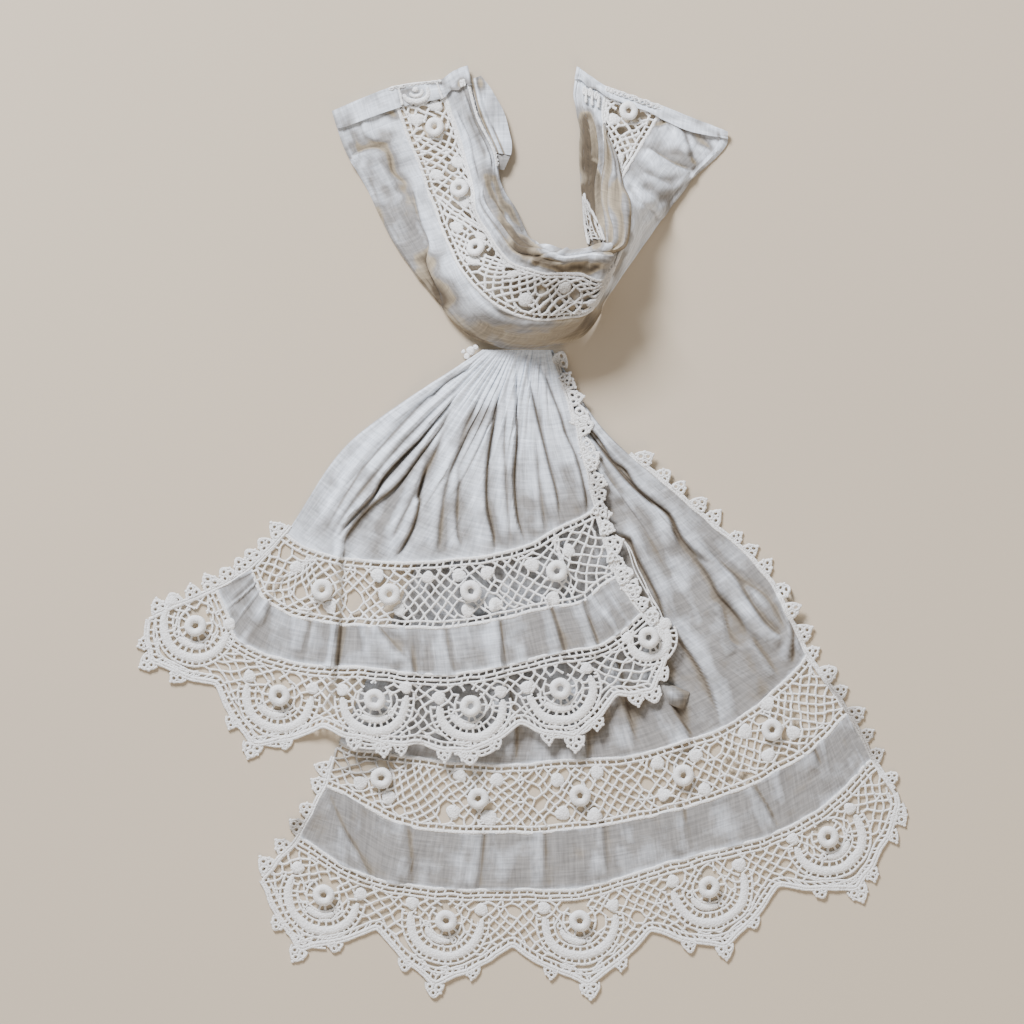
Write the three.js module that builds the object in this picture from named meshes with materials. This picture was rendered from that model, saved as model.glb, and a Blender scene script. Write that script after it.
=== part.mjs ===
// A jabot collar of linen and crochet lace, lying on a table as it is laid out to be seen.
// A U-shaped band of linen, lace and linen stands up at the middle of the front. Two gathered falls
// hang from it: a long one on the table and a short one over it, each with a lace insertion,
// a linen strip and a scalloped lace edging.
// Millimetres. +Y points to the neck, -Y to the hems, +Z up from the table. The origin is on the
// table, at the middle of the outline.

import * as THREE from "three";

// Driving dimensions
const CLOTH = 1.0; // thickness of a wall of linen or lace
const HEM = 2.0; // thickness of a turned and stitched hem
const SEAM_GAP = 0.6; // clearance between two pieces that are sewn together
const TRIM_GAP = 0.5; // clearance between a fall and the picot trim along its side
const GATHER_LINE = 76.2; // the gathered tops of both falls lie along this line, under the collar
const GATHER_LIFT = 2.7; // height of the short fall where it is gathered over the long one
const GATHER_RISE = 30; // the short fall climbs over this length to where it lies on the long one
const LAYER_LIFT = 4.4; // and it is this high there
const LAYER_START = 2; // the short fall begins to sink to the table this far outside the long one
const LAYER_END = 22; // and it has reached the table this far outside it
const PLEAT_HEIGHT = 1.3; // small pleats of the gathering
const PLEAT_PITCH = 0.75; // one small pleat, in sections across the fall
const HEM_POINT = 4.2; // how far the small points of the hem stand out, halfway to each tip
const PLEATS_FADE = { from: 0.1, to: 0.8 }; // depths between which the small pleats die away
const FOLD_FADE = 0.3; // depth over which a long fold rises, and over which it dies away
const NET_OPENING = 0.66; // share of a lace mesh that is open
const END_HEM = 0.24; // length of the hem at the collar's ends, in sections along it
const END_GAP = 0.03; // clearance beside that hem, in sections along it
const SLOPE_STEP = 0.02; // step over which the slope of the collar is taken

const RING_RADIUS = 5.2; // outer radius of a padded crochet ring
const RING_HOLE = 1.6; // radius of its hole
const RING_HEIGHT = 2.8;
const RING_SEAT = 0.3; // clearance between a ring and the lace that it is sewn on
const RING_SIDES = 10;
const RING_SECTION_SIDES = 5;
const RING_MARGIN = 1.5; // a fold this close to a ring still lifts it
const FALL_RING_SPAN = [0.3, 0.18]; // radius of a ring on a fall, across in sections and down in bands
const COLLAR_RING_SPAN = [0.3, 0.25]; // and on the collar, along and across

const STEPS_PER_SECTION = 4; // faces across a fall between two of its sections
const PANEL_STEPS = 4; // faces down a gathered panel
const EDGING_STEPS = 3; // faces down a scalloped edging
const NET_ROWS = 3; // half meshes down a lace insertion

const LINEN = { color: 0xe6e3dd, roughness: 0.9, metalness: 0 };
const LACE = { color: 0xf2efe8, roughness: 0.85, metalness: 0 };

// The collar band, from the end of its left wing, round the front, to the end of its right wing.
// Each section gives the band's outer edge, its two lace seams, the line where the neck strip
// rolls over, and the neck edge. The heights are those of the middle of the cloth.
const COLLAR_SECTIONS = [
  { outer: [-80.5, 176.5, 0.6], lower: [-56, 186.5, 0.6], upper: [-35.5, 189.5, 0.8],
    roll: [-29, 193.5, 1.2], neck: [-24, 195.5, 1.2] },
  { outer: [-75, 160, 0.6], lower: [-50, 168.5, 0.8], upper: [-29.5, 172.5, 1.5],
    roll: [-24.5, 174.5, 2], neck: [-19.5, 176, 2] },
  { outer: [-66.5, 145, 0.6], lower: [-45, 157, 1.5], upper: [-25, 158, 3],
    roll: [-18, 160, 4], neck: [-12, 159, 3] },
  { outer: [-60.5, 132.5, 0.6], lower: [-40, 143, 2.5], upper: [-21, 144, 7],
    roll: [-17, 147.5, 8], neck: [-10.5, 147, 2] },
  { outer: [-53, 119, 0.6], lower: [-36, 132.5, 4.5], upper: [-20, 134, 11],
    roll: [-15.5, 139, 12], neck: [-5, 138, 2] },
  { outer: [-42, 104, 1], lower: [-31.5, 120, 9], upper: [-14.5, 124, 17],
    roll: [-9, 128.5, 18], neck: [1.5, 124.5, 3] },
  { outer: [-32, 92, 1.5], lower: [-24.5, 107.5, 17], upper: [-6.5, 113, 24],
    roll: [-1, 119, 25], neck: [6.5, 120, 9] },
  { outer: [-19.5, 80.5, 2.5], lower: [-11.5, 95, 23], upper: [2.5, 109.5, 29],
    roll: [10, 118, 31], neck: [10, 115, 20] },
  { outer: [-3, 77, 4.2], lower: [2.5, 89, 25], upper: [10, 107.5, 31],
    roll: [18.5, 116, 33], neck: [17.5, 113, 22] },
  { outer: [12, 78.4, 3.5], lower: [17.5, 89.5, 24], upper: [23.5, 107.5, 30],
    roll: [29.5, 118, 32], neck: [28, 115, 21] },
  { outer: [24.5, 84, 2], lower: [28, 92.5, 23], upper: [32.5, 105, 28],
    roll: [37, 119, 31], neck: [32, 116, 19] },
  { outer: [34.5, 99, 0.8], lower: [35, 104, 21], upper: [33.5, 113, 26],
    roll: [31, 119, 28], neck: [28, 118, 16] },
  { outer: [47, 116.5, 0.6], lower: [43, 124, 21], upper: [34.5, 127, 18],
    roll: [29.5, 128, 12], neck: [25.5, 128, 5] },
  { outer: [60.5, 135, 0.6], lower: [43.5, 137, 20], upper: [33, 141, 13],
    roll: [28, 143.5, 8], neck: [24.5, 144, 2] },
  { outer: [71, 148.5, 0.6], lower: [41, 147.5, 13], upper: [34.5, 155, 11],
    roll: [29, 157, 8], neck: [23.5, 157.5, 2] },
  { outer: [80, 156.5, 0.6], lower: [48.5, 161, 6], upper: [33.5, 167, 9],
    roll: [28.5, 168.5, 8], neck: [23.5, 169, 2] },
  { outer: [85, 162.5, 0.6], lower: [53.5, 170, 2], upper: [33, 176.5, 4],
    roll: [26, 179.5, 4], neck: [21, 183, 2] },
  { outer: [85.5, 168, 1], lower: [58, 178.5, 0.8], upper: [34.5, 186.5, 1],
    roll: [27.5, 191, 1.5], neck: [22.5, 195, 1.2] },
];
const COLLAR_LINES = ["outer", "lower", "upper", "roll", "neck"];
const OUTER = 0; // places across the collar band, in the order of its lines
const LOWER_SEAM = 1;
const UPPER_SEAM = 2;
const NECK = 4;

// Soft folds of the collar: where they run, how far they spread, and how high they stand.
const COLLAR_FOLDS = [
  { along: 1.6, across: 0.55, length: 0.5, breadth: 0.3, height: 1.4 },
  { along: 3.4, across: 0.5, length: 0.9, breadth: 0.2, height: 1.6 },
  { along: 5.2, across: 0.45, length: 0.8, breadth: 0.2, height: 1.8 },
  { along: 13.2, across: 0.5, length: 0.5, breadth: 0.3, height: 1.6 },
  { along: 15.2, across: 0.45, length: 0.4, breadth: 0.3, height: 1.8 },
];

// The doubled flap along the neck edge of the left end: how far it reaches out from the cord line.
const FLAP_REACH = [
  { along: 0.3, reach: 5 },
  { along: 0.7, reach: 8.5 },
  { along: 1.1, reach: 10.5 },
  { along: 1.55, reach: 9.5 },
  { along: 2.0, reach: 6.5 },
];

// The short upper fall. Its sections run down it, from left to right, and end in turn at a tip
// and at a valley of the hem. Each gives the fall's place at its two insertion seams, at the seam
// of its edging, and at the hem.
const SHORT_FALL_SECTIONS = [
  { top: [-100, -1], foot: [-114.5, -16], edge: [-129, -24.5], hem: [-158, -37] },
  { top: [-97, -4], foot: [-112.5, -21], edge: [-124.5, -35], hem: [-160.5, -57] },
  { top: [-93, -6.5], foot: [-109, -28], edge: [-121, -45], hem: [-129.5, -64] },
  { top: [-83.5, -10], foot: [-98, -35], edge: [-103, -53.5], hem: [-115, -94.5] },
  { top: [-75, -11.5], foot: [-80, -38.5], edge: [-82.5, -56.5], hem: [-84.5, -81.5] },
  { top: [-61, -13], foot: [-64.5, -39.5], edge: [-65, -57.5], hem: [-58.5, -93.5] },
  { top: [-48, -13], foot: [-48, -40], edge: [-46.5, -59.5], hem: [-44.5, -88] },
  { top: [-32, -12], foot: [-32, -40], edge: [-29, -60], hem: [-22.5, -97] },
  { top: [-13.5, -10], foot: [-10, -37], edge: [-7, -56], hem: [-1.5, -80] },
  { top: [2.5, -5.5], foot: [9, -32], edge: [14.5, -51], hem: [22, -91.5] },
  { top: [17, 2.5], foot: [23.5, -29.5], edge: [32, -47.5], hem: [38.5, -68] },
  { top: [25.5, 6.5], foot: [32, -23], edge: [42.5, -40.5], hem: [55.5, -71] },
  { top: [29.5, 8.5], foot: [38.5, -19], edge: [49, -35], hem: [60.5, -47.5] },
];

// The long lower fall, in the same way.
const LONG_FALL_SECTIONS = [
  { top: [-77.5, -88.5], foot: [-83, -107], edge: [-94, -128.5], hem: [-110, -147] },
  { top: [-72, -91], foot: [-76, -110], edge: [-78, -139], hem: [-96.5, -180] },
  { top: [-52, -94.5], foot: [-53.5, -122], edge: [-58.5, -147], hem: [-61.5, -166] },
  { top: [-29, -97], foot: [-29, -126], edge: [-32.5, -150], hem: [-38, -195] },
  { top: [-5, -98], foot: [-4, -126.5], edge: [-4.5, -150.5], hem: [-5, -173.5] },
  { top: [19.5, -96], foot: [22.5, -125], edge: [23.5, -150], hem: [28, -195] },
  { top: [42.5, -95], foot: [48, -120.5], edge: [51, -142], hem: [53.5, -166.5] },
  { top: [67, -88.5], foot: [74, -114], edge: [76, -135], hem: [85.5, -179] },
  { top: [88.5, -80], foot: [98.5, -105], edge: [102.5, -128], hem: [107, -148] },
  { top: [104, -67.5], foot: [117, -94], edge: [122, -118], hem: [142, -154] },
  { top: [111.5, -61], foot: [127.5, -85.5], edge: [135, -107.5], hem: [149.5, -132.5] },
  { top: [116, -56], foot: [132.5, -80], edge: [142, -99.5], hem: [159.5, -122] },
  { top: [118.5, -52], foot: [136, -76.5], edge: [146, -96], hem: [156, -110.5] },
];

// How each panel swings out from its gathering: its left edge, middle and right edge, a row for
// each equal step down, from the gathering. The insertion seam follows the last row.
const SHORT_FALL_PANEL = [
  { left: [-17.5, GATHER_LINE], middle: [-3, GATHER_LINE], right: [11, GATHER_LINE] },
  { left: [-72, 38.5], middle: [-22.5, 27], right: [22, 42.5] },
];
const LONG_FALL_PANEL = [
  { left: [-13.5, GATHER_LINE], middle: [0, GATHER_LINE], right: [12, GATHER_LINE] },
  { left: [-27.5, 35], middle: [10, 33], right: [33.5, 42.5] },
  { left: [-41.5, -5.5], middle: [20, -10], right: [68.5, 11.4] },
  { left: [-59.5, -47], middle: [31, -53], right: [100, -17] },
];

// Long folds down each fall. A fold stands at a place across it, counted in sections, and runs
// from one depth to another: 0 the gathering, 1 and 2 the insertion seams, 3 the edging, 4 the hem.
const SHORT_FALL_FOLDS = [
  { across: 1.25, breadth: 0.45, height: 1.7, from: 0.1, to: 1.0 },
  { across: 2.25, breadth: 0.4, height: 2.2, from: 0.1, to: 1.1 },
  { across: 4.0, breadth: 0.35, height: 2.0, from: 0.4, to: 4.3 },
  { across: 5.0, breadth: 0.4, height: 1.8, from: 0.2, to: 1.4 },
  { across: 6.0, breadth: 0.4, height: 2.2, from: 2.6, to: 4.3 },
  { across: 7.0, breadth: 0.4, height: 1.3, from: 0.4, to: 1.2 },
  { across: 8.0, breadth: 0.4, height: 1.9, from: 0.1, to: 2.8 },
  { across: 9.0, breadth: 0.4, height: 1.7, from: 0, to: 1.5 },
  { across: 9.5, breadth: 0.4, height: 1.4, from: 1.6, to: 3.2 },
  { across: 10.25, breadth: 0.4, height: 1.9, from: 0, to: 1.1 },
  { across: 10.75, breadth: 0.4, height: 1.6, from: 1.7, to: 3.2 },
  { across: 11.25, breadth: 0.4, height: 1.7, from: 0.1, to: 1.1 },
];
const LONG_FALL_FOLDS = [
  { across: 3.0, breadth: 0.6, height: 1.6, from: 0.2, to: 1.2 },
  { across: 5.0, breadth: 0.6, height: 1.8, from: 0.2, to: 1.3 },
  { across: 7.5, breadth: 0.6, height: 2.4, from: 0.3, to: 1.5 },
  { across: 9.0, breadth: 0.6, height: 1.6, from: 0.2, to: 1.1 },
  { across: 10.25, breadth: 0.45, height: 2.4, from: 0.05, to: 0.9 },
  { across: 11.0, breadth: 0.5, height: 1.8, from: 0.5, to: 1.3 },
  { across: 8.5, breadth: 0.6, height: 1.6, from: 1.7, to: 3.1 },
  { across: 10.0, breadth: 0.6, height: 1.5, from: 1.6, to: 3.1 },
];

// Padded crochet rings: the piece each is sewn on, and its place across and down that piece.
const SHORT_FALL_RINGS = [
  { band: "lace_insertion", across: 3.5, down: 0.52 },
  { band: "lace_insertion", across: 5.45, down: 0.5 },
  { band: "lace_insertion", across: 7.5, down: 0.5 },
  { band: "lace_insertion", across: 9.5, down: 0.52 },
  { band: "scalloped_edging", across: 0.75, down: 0.36 },
  { band: "scalloped_edging", across: 3.2, down: 0.38 },
  { band: "scalloped_edging", across: 5.0, down: 0.36 },
  { band: "scalloped_edging", across: 7.2, down: 0.4 },
  { band: "scalloped_edging", across: 8.9, down: 0.37 },
  { band: "scalloped_edging", across: 11.7, down: 0.42 },
];
const LONG_FALL_RINGS = [
  { band: "lace_insertion", across: 1.7, down: 0.4 },
  { band: "lace_insertion", across: 3.4, down: 0.5 },
  { band: "lace_insertion", across: 5.1, down: 0.52 },
  { band: "lace_insertion", across: 6.85, down: 0.5 },
  { band: "lace_insertion", across: 8.6, down: 0.43 },
  { band: "scalloped_edging", across: 1.0, down: 0.33 },
  { band: "scalloped_edging", across: 3.05, down: 0.3 },
  { band: "scalloped_edging", across: 4.95, down: 0.3 },
  { band: "scalloped_edging", across: 6.95, down: 0.32 },
  { band: "scalloped_edging", across: 9.0, down: 0.28 },
];
const COLLAR_RINGS = [
  { along: 1.1, across: 1.5 },
  { along: 3.05, across: 1.6 },
  { along: 5.4, across: 1.5 },
  { along: 16.3, across: 1.45 },
];

// Picot trims along the sides of the falls, a point for each cluster of picots. A trim runs from
// one depth to another, counted as for the folds, and its points reach out this far.
const TRIM_VALLEY = 2.2; // reach of a trim between its points
const SIDE_TRIMS = [
  { name: "short_left_trim", fall: "short", side: "left", from: 0.92, to: 3.95, points: 8, reach: 6.5 },
  { name: "short_right_trim", fall: "short", side: "right", from: 0.06, to: 3.9, points: 15, reach: 7.5 },
  { name: "long_left_trim", fall: "long", side: "left", from: 1.3, to: 3.95, points: 6, reach: 6.5 },
  { name: "long_right_trim", fall: "long", side: "right", from: 0.3, to: 3.9, points: 19, reach: 6.5 },
];

// Small helpers
const clamp = (value, low, high) => Math.min(Math.max(value, low), high);

function mix(a, b, share) {
  return a.map((value, axis) => value + (b[axis] - value) * share);
}

function subtract(a, b) {
  return a.map((value, axis) => value - b[axis]);
}

function distance(a, b) {
  return Math.hypot(...subtract(a, b));
}

function dotProduct(a, b) {
  return a.reduce((sum, value, axis) => sum + value * b[axis], 0);
}

function crossProduct(a, b) {
  return [a[1] * b[2] - a[2] * b[1], a[2] * b[0] - a[0] * b[2], a[0] * b[1] - a[1] * b[0]];
}

function unit(vector) {
  const length = Math.hypot(...vector);
  return vector.map((value) => value / length);
}

function smoothStep(low, high, value) {
  const share = clamp((value - low) / (high - low), 0, 1);
  return share * share * (3 - 2 * share);
}

// A rounded hill, 1 at the middle and 0 at one breadth to each side.
function hill(offset, breadth) {
  return Math.cos((Math.PI / 2) * clamp(offset / breadth, -1, 1)) ** 2;
}

// The direction of a smooth curve at one of its points. It is short beside a short stretch, so
// that the curve never loops.
function slopeAt(points, index) {
  const [before, here, after] = [-1, 0, 1].map((step) => points[clamp(index + step, 0, points.length - 1)]);
  const whole = subtract(after, before);
  const [left, right] = [distance(before, here), distance(here, after)];
  const pace = left === 0 || right === 0 ? left + right : Math.min(left, right);
  return whole.map((value) => (value / Math.hypot(...whole)) * pace);
}

// A smooth curve through the listed points. The place counts them, from 0 at the first.
function curveThrough(points, place) {
  const start = clamp(Math.floor(place), 0, points.length - 2);
  const share = place - start;
  const [from, to] = [points[start], points[start + 1]];
  const [leaving, arriving] = [slopeAt(points, start), slopeAt(points, start + 1)];
  const near = (1 + 2 * share) * (1 - share) ** 2;
  const leave = share * (1 - share) ** 2;
  const arrive = share ** 2 * (share - 1);
  return from.map((value, axis) =>
    value * near + to[axis] * (1 - near) + leaving[axis] * leave + arriving[axis] * arrive
  );
}

// Straight lines through the listed points, which keep the hem's corners sharp.
function linesThrough(points, place) {
  const start = clamp(Math.floor(place), 0, points.length - 2);
  return mix(points[start], points[start + 1], place - start);
}

// Cells of a cloth
// A cell lists its corners, each as its place along two directions of the cloth.
function gridCells(acrossPlaces, downPlaces) {
  const cells = [];
  for (let column = 1; column < acrossPlaces.length; column++) {
    for (let row = 1; row < downPlaces.length; row++) {
      const [left, right] = [acrossPlaces[column - 1], acrossPlaces[column]];
      const [top, foot] = [downPlaces[row - 1], downPlaces[row]];
      cells.push([[left, top], [left, foot], [right, foot], [right, top]]);
    }
  }
  return cells;
}

function evenPlaces(from, to, steps) {
  return Array.from({ length: steps + 1 }, (_, step) => from + ((to - from) * step) / steps);
}

// The four slanted bars that are left of a cell when its middle is cut away.
function openCell(cell, opening) {
  const centre = [0, 1].map((axis) => cell.reduce((sum, corner) => sum + corner[axis], 0) / cell.length);
  const inner = cell.map((corner) => mix(centre, corner, opening));
  return cell.map((corner, index) => {
    const next = (index + 1) % cell.length;
    return [corner, cell[next], inner[next], inner[index]];
  });
}

// A net of diamond meshes in staggered rows, with solid half meshes along its borders.
function netCells(from, to, columns, rows) {
  const inside = (column, row) => column >= 0 && column <= columns && row >= 0 && row <= rows;
  const place = ([column, row]) => [from + ((to - from) * column) / columns, row / rows];
  const cells = [];
  for (let column = 0; column <= columns; column++) {
    for (let row = 0; row <= rows; row++) {
      if ((column + row) % 2 === 0) continue;
      const around = [[column - 1, row], [column, row + 1], [column + 1, row], [column, row - 1]];
      const outside = around.findIndex((corner) => !inside(...corner));
      if (outside < 0) {
        cells.push(...openCell(around.map(place), NET_OPENING));
        continue;
      }
      // A half mesh is fanned from its middle, which lies on the border.
      const turned = [...around.slice(outside + 1), ...around.slice(0, outside)];
      const half = turned.filter((corner) => inside(...corner));
      cells.push([[column, row], ...half].map(place));
    }
  }
  return cells;
}

// A closed wall of cloth over the cells. skins gives the under and upper point of a corner.
function clothWall(cells, skins) {
  const corners = [];
  const rims = new Map();
  const known = new Map();
  const name = (corner) => corner.map((value) => value.toFixed(5)).join(" ");
  const both = (corner) => {
    const key = name(corner);
    if (!known.has(key)) known.set(key, skins(...corner));
    return known.get(key);
  };
  const facet = (...points) => corners.push(...points.flat());
  for (const cell of cells) {
    const faces = cell.map(both);
    for (let index = 2; index < cell.length; index++) {
      facet(faces[0].upper, faces[index - 1].upper, faces[index].upper);
      facet(faces[0].under, faces[index].under, faces[index - 1].under);
    }
    cell.forEach((corner, index) => {
      const next = cell[(index + 1) % cell.length];
      if (!rims.delete(`${name(next)} to ${name(corner)}`)) {
        rims.set(`${name(corner)} to ${name(next)}`, [corner, next]);
      }
    });
  }
  for (const [from, to] of rims.values()) {
    const [start, end] = [both(from), both(to)];
    facet(start.under, end.under, end.upper);
    facet(start.under, end.upper, start.upper);
  }
  return facedOutward(corners);
}

// A geometry of the listed corners, three for each face, turned so that its faces look outward.
function facedOutward(corners) {
  let volume = 0;
  for (let index = 0; index < corners.length; index += 9) {
    const [a, b, c] = [0, 3, 6].map((step) => corners.slice(index + step, index + step + 3));
    volume += a[0] * (b[1] * c[2] - b[2] * c[1]) + a[1] * (b[2] * c[0] - b[0] * c[2]);
    volume += a[2] * (b[0] * c[1] - b[1] * c[0]);
  }
  if (volume < 0) {
    for (let index = 0; index < corners.length; index += 9) {
      const second = corners.slice(index + 3, index + 6);
      corners.splice(index + 3, 6, ...corners.slice(index + 6, index + 9), ...second);
    }
  }
  const geometry = new THREE.BufferGeometry();
  geometry.setAttribute("position", new THREE.Float32BufferAttribute(corners, 3));
  geometry.computeVertexNormals();
  return geometry;
}

function namedMesh(name, geometry, finish) {
  const mesh = new THREE.Mesh(geometry, new THREE.MeshStandardMaterial(finish));
  mesh.name = name;
  return mesh;
}

// Falls
const BANDS = ["gathered_panel", "lace_insertion", "linen_strip", "scalloped_edging"];

// The height of the long folds and small pleats at a place across and a depth down a fall.
function relief(folds, across, depth) {
  const pleat = hill(((across % PLEAT_PITCH) - PLEAT_PITCH / 2) / PLEAT_PITCH, 0.5);
  let height = PLEAT_HEIGHT * pleat * (1 - smoothStep(PLEATS_FADE.from, PLEATS_FADE.to, depth));
  for (const fold of folds) {
    const grow = smoothStep(fold.from, fold.from + FOLD_FADE, depth);
    const fade = 1 - smoothStep(fold.to - FOLD_FADE, fold.to, depth);
    height += fold.height * grow * fade * hill(across - fold.across, fold.breadth);
  }
  return height;
}

function makeFall({ sections, panel, folds, liftAt }) {
  const last = sections.length - 1;
  const seam = (name, across) => curveThrough(sections.map((section) => section[name]), across);

  // The hem runs straight between tips and valleys, with a small point halfway.
  const hemAt = (across) => {
    const place = linesThrough(sections.map((section) => section.hem), across);
    const share = across - Math.floor(across);
    const point = HEM_POINT * clamp(1 - Math.abs(share - 0.5) * STEPS_PER_SECTION, 0, 1);
    const above = seam("edge", across);
    return mix(place, above, -point / distance(place, above));
  };

  // The line down a band at a place across the fall, as the points that it runs through.
  const lineDown = {
    gathered_panel: (across) => [
      ...panel.map(({ left, middle, right }) => curveThrough([left, middle, right], (2 * across) / last)),
      seam("top", across),
    ],
    lace_insertion: (across) => [seam("top", across), seam("foot", across)],
    linen_strip: (across) => [seam("foot", across), seam("edge", across)],
    scalloped_edging: (across) => [seam("edge", across), hemAt(across)],
  };

  const skins = (band, across, down) => {
    const points = lineDown[band](across);
    const steps = points.length - 1;
    const inset = SEAM_GAP / 2 / distance(points[steps - 1], points[steps]);
    const [x, y] = curveThrough(points, inset + down * (steps - 2 * inset));
    const z = liftAt(x, y) + relief(folds, across, BANDS.indexOf(band) + down);
    return { under: [x, y, z], upper: [x, y, z + CLOTH] };
  };

  return { last, skins };
}

// The long fall's left edge, from the gathering to the hem, as places down the table.
const LONG_FALL_LEFT_EDGE = [
  ...LONG_FALL_PANEL.map((row) => row.left),
  LONG_FALL_SECTIONS[0].top,
  LONG_FALL_SECTIONS[0].foot,
  LONG_FALL_SECTIONS[0].edge,
];

// How far the short fall is lifted off the table by the long one under it.
function shortFallLift(x, y) {
  const edge = LONG_FALL_LEFT_EDGE;
  const below = edge.findIndex((place) => place[1] < y);
  const index = below < 1 ? 1 : below;
  const [upper, lower] = [edge[index - 1], edge[index]];
  const share = clamp((y - upper[1]) / (lower[1] - upper[1]), 0, 1);
  const outside = mix(upper, lower, share)[0] - x;
  const climbed = smoothStep(GATHER_LINE, GATHER_LINE - GATHER_RISE, y);
  const lift = GATHER_LIFT + (LAYER_LIFT - GATHER_LIFT) * climbed;
  return lift * (1 - smoothStep(LAYER_START, LAYER_END, outside));
}

const FALLS = {
  short: makeFall({
    sections: SHORT_FALL_SECTIONS,
    panel: SHORT_FALL_PANEL,
    folds: SHORT_FALL_FOLDS,
    liftAt: shortFallLift,
  }),
  long: makeFall({
    sections: LONG_FALL_SECTIONS,
    panel: LONG_FALL_PANEL,
    folds: LONG_FALL_FOLDS,
    liftAt: () => 0,
  }),
};

// Places down each band at which its cells have corners.
const DOWN_PLACES = {
  gathered_panel: evenPlaces(0, 1, PANEL_STEPS),
  lace_insertion: evenPlaces(0, 1, NET_ROWS),
  linen_strip: evenPlaces(0, 1, 1),
  scalloped_edging: evenPlaces(0, 1, EDGING_STEPS),
};

// The edging is pierced beside each valley and under each ring.
function edgingCells(last) {
  const places = evenPlaces(0, last, last * STEPS_PER_SECTION);
  return gridCells(places, DOWN_PLACES.scalloped_edging).flatMap((cell) => {
    const [across, down] = cell[0];
    const column = Math.round(across * STEPS_PER_SECTION) % (2 * STEPS_PER_SECTION);
    const row = Math.round(down * EDGING_STEPS);
    const besideValley = row === 0 && (column === 0 || column === 2 * STEPS_PER_SECTION - 2);
    const underRing = row === EDGING_STEPS - 1 && column === STEPS_PER_SECTION;
    return besideValley || underRing ? openCell(cell, NET_OPENING) : [cell];
  });
}

function fallMeshes(name, fall) {
  const places = evenPlaces(0, fall.last, fall.last * STEPS_PER_SECTION);
  const cells = {
    gathered_panel: gridCells(places, DOWN_PLACES.gathered_panel),
    lace_insertion: netCells(0, fall.last, fall.last * 2, NET_ROWS),
    linen_strip: gridCells(places, DOWN_PLACES.linen_strip),
    scalloped_edging: edgingCells(fall.last),
  };
  return BANDS.map((band) => {
    const geometry = clothWall(cells[band], (across, down) => fall.skins(band, across, down));
    const finish = band.includes("linen") || band.includes("panel") ? LINEN : LACE;
    return namedMesh(`${name}_${band}`, geometry, finish);
  });
}

// Side trims
// A fall's side as a line through the corners of its bands, each with its depth down the fall.
function sideLine(fall, side) {
  const across = side === "left" ? 0 : fall.last;
  return BANDS.flatMap((band, index) =>
    DOWN_PLACES[band].map((down) => ({ depth: index + down, point: fall.skins(band, across, down).under }))
  );
}

function pointAtDepth(line, depth) {
  const below = line.findIndex((corner) => corner.depth >= depth);
  const index = clamp(below, 1, line.length - 1);
  const [upper, lower] = [line[index - 1], line[index]];
  const share = (depth - upper.depth) / Math.max(lower.depth - upper.depth, 1e-9);
  return mix(upper.point, lower.point, clamp(share, 0, 1));
}

// A stretch of the line, cut into equal lengths.
function evenStretch(line, from, to, steps) {
  const inner = line.filter((corner) => corner.depth > from && corner.depth < to);
  const route = [pointAtDepth(line, from), ...inner.map((corner) => corner.point), pointAtDepth(line, to)];
  const lengths = route.slice(1).map((point, index) => distance(point, route[index]));
  const total = lengths.reduce((sum, length) => sum + length, 0);
  return evenPlaces(0, total, steps).map((along) => {
    let index = 0;
    let left = along;
    while (index < lengths.length - 1 && left > lengths[index]) {
      left -= lengths[index];
      index += 1;
    }
    return mix(route[index], route[index + 1], clamp(left / lengths[index], 0, 1));
  });
}

function trimMesh({ name, fall, side, from, to, points, reach }) {
  const route = evenStretch(sideLine(FALLS[fall], side), from, to, points * 2);
  const turn = side === "left" ? 1 : -1;
  const skins = (along, out) => {
    const here = route[along];
    const way = subtract(route[Math.min(along + 1, points * 2)], route[Math.max(along - 1, 0)]);
    const [outX, outY] = unit([way[1] * turn, -way[0] * turn]);
    const outerEdge = along % 2 === 1 ? reach : TRIM_VALLEY;
    const far = out === 1 ? outerEdge : TRIM_GAP;
    const under = [here[0] + outX * far, here[1] + outY * far, here[2]];
    return { under, upper: [under[0], under[1], under[2] + CLOTH] };
  };
  const cells = gridCells(evenPlaces(0, points * 2, points * 2), [0, 1]);
  return namedMesh(name, clothWall(cells, skins), LACE);
}

// Collar
function collarMiddle(along, across) {
  const lines = COLLAR_LINES.map((name) =>
    curveThrough(COLLAR_SECTIONS.map((section) => section[name]), along)
  );
  const point = curveThrough(lines, across);
  for (const fold of COLLAR_FOLDS) {
    const lift = hill(along - fold.along, fold.length) * hill(across - fold.across, fold.breadth);
    point[2] += fold.height * lift;
  }
  point[2] = Math.max(point[2], CLOTH / 2);
  return point;
}

function collarNormal(along, across) {
  const step = SLOPE_STEP;
  const lengthwise = subtract(collarMiddle(along + step, across), collarMiddle(along - step, across));
  const crosswise = subtract(collarMiddle(along, across + step), collarMiddle(along, across - step));
  return unit(crossProduct(lengthwise, crosswise));
}

function collarSkins(along, across, thickness = CLOTH) {
  const middle = collarMiddle(along, across);
  const normal = collarNormal(along, across);
  const at = (offset) => middle.map((value, axis) => value + normal[axis] * offset);
  return { under: at(-CLOTH / 2), upper: at(thickness - CLOTH / 2) };
}

// Half a seam gap, square to the seam, as a share of the way across to the next line.
function seamInset(along, seam, side) {
  const step = SLOPE_STEP;
  const lengthwise = unit(subtract(collarMiddle(along + step, seam), collarMiddle(along - step, seam)));
  const crosswise = subtract(collarMiddle(along, seam + side * step), collarMiddle(along, seam));
  const slant = dotProduct(crosswise, lengthwise);
  const square = Math.sqrt(dotProduct(crosswise, crosswise) - slant ** 2) / step;
  return SEAM_GAP / 2 / square;
}

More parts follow.
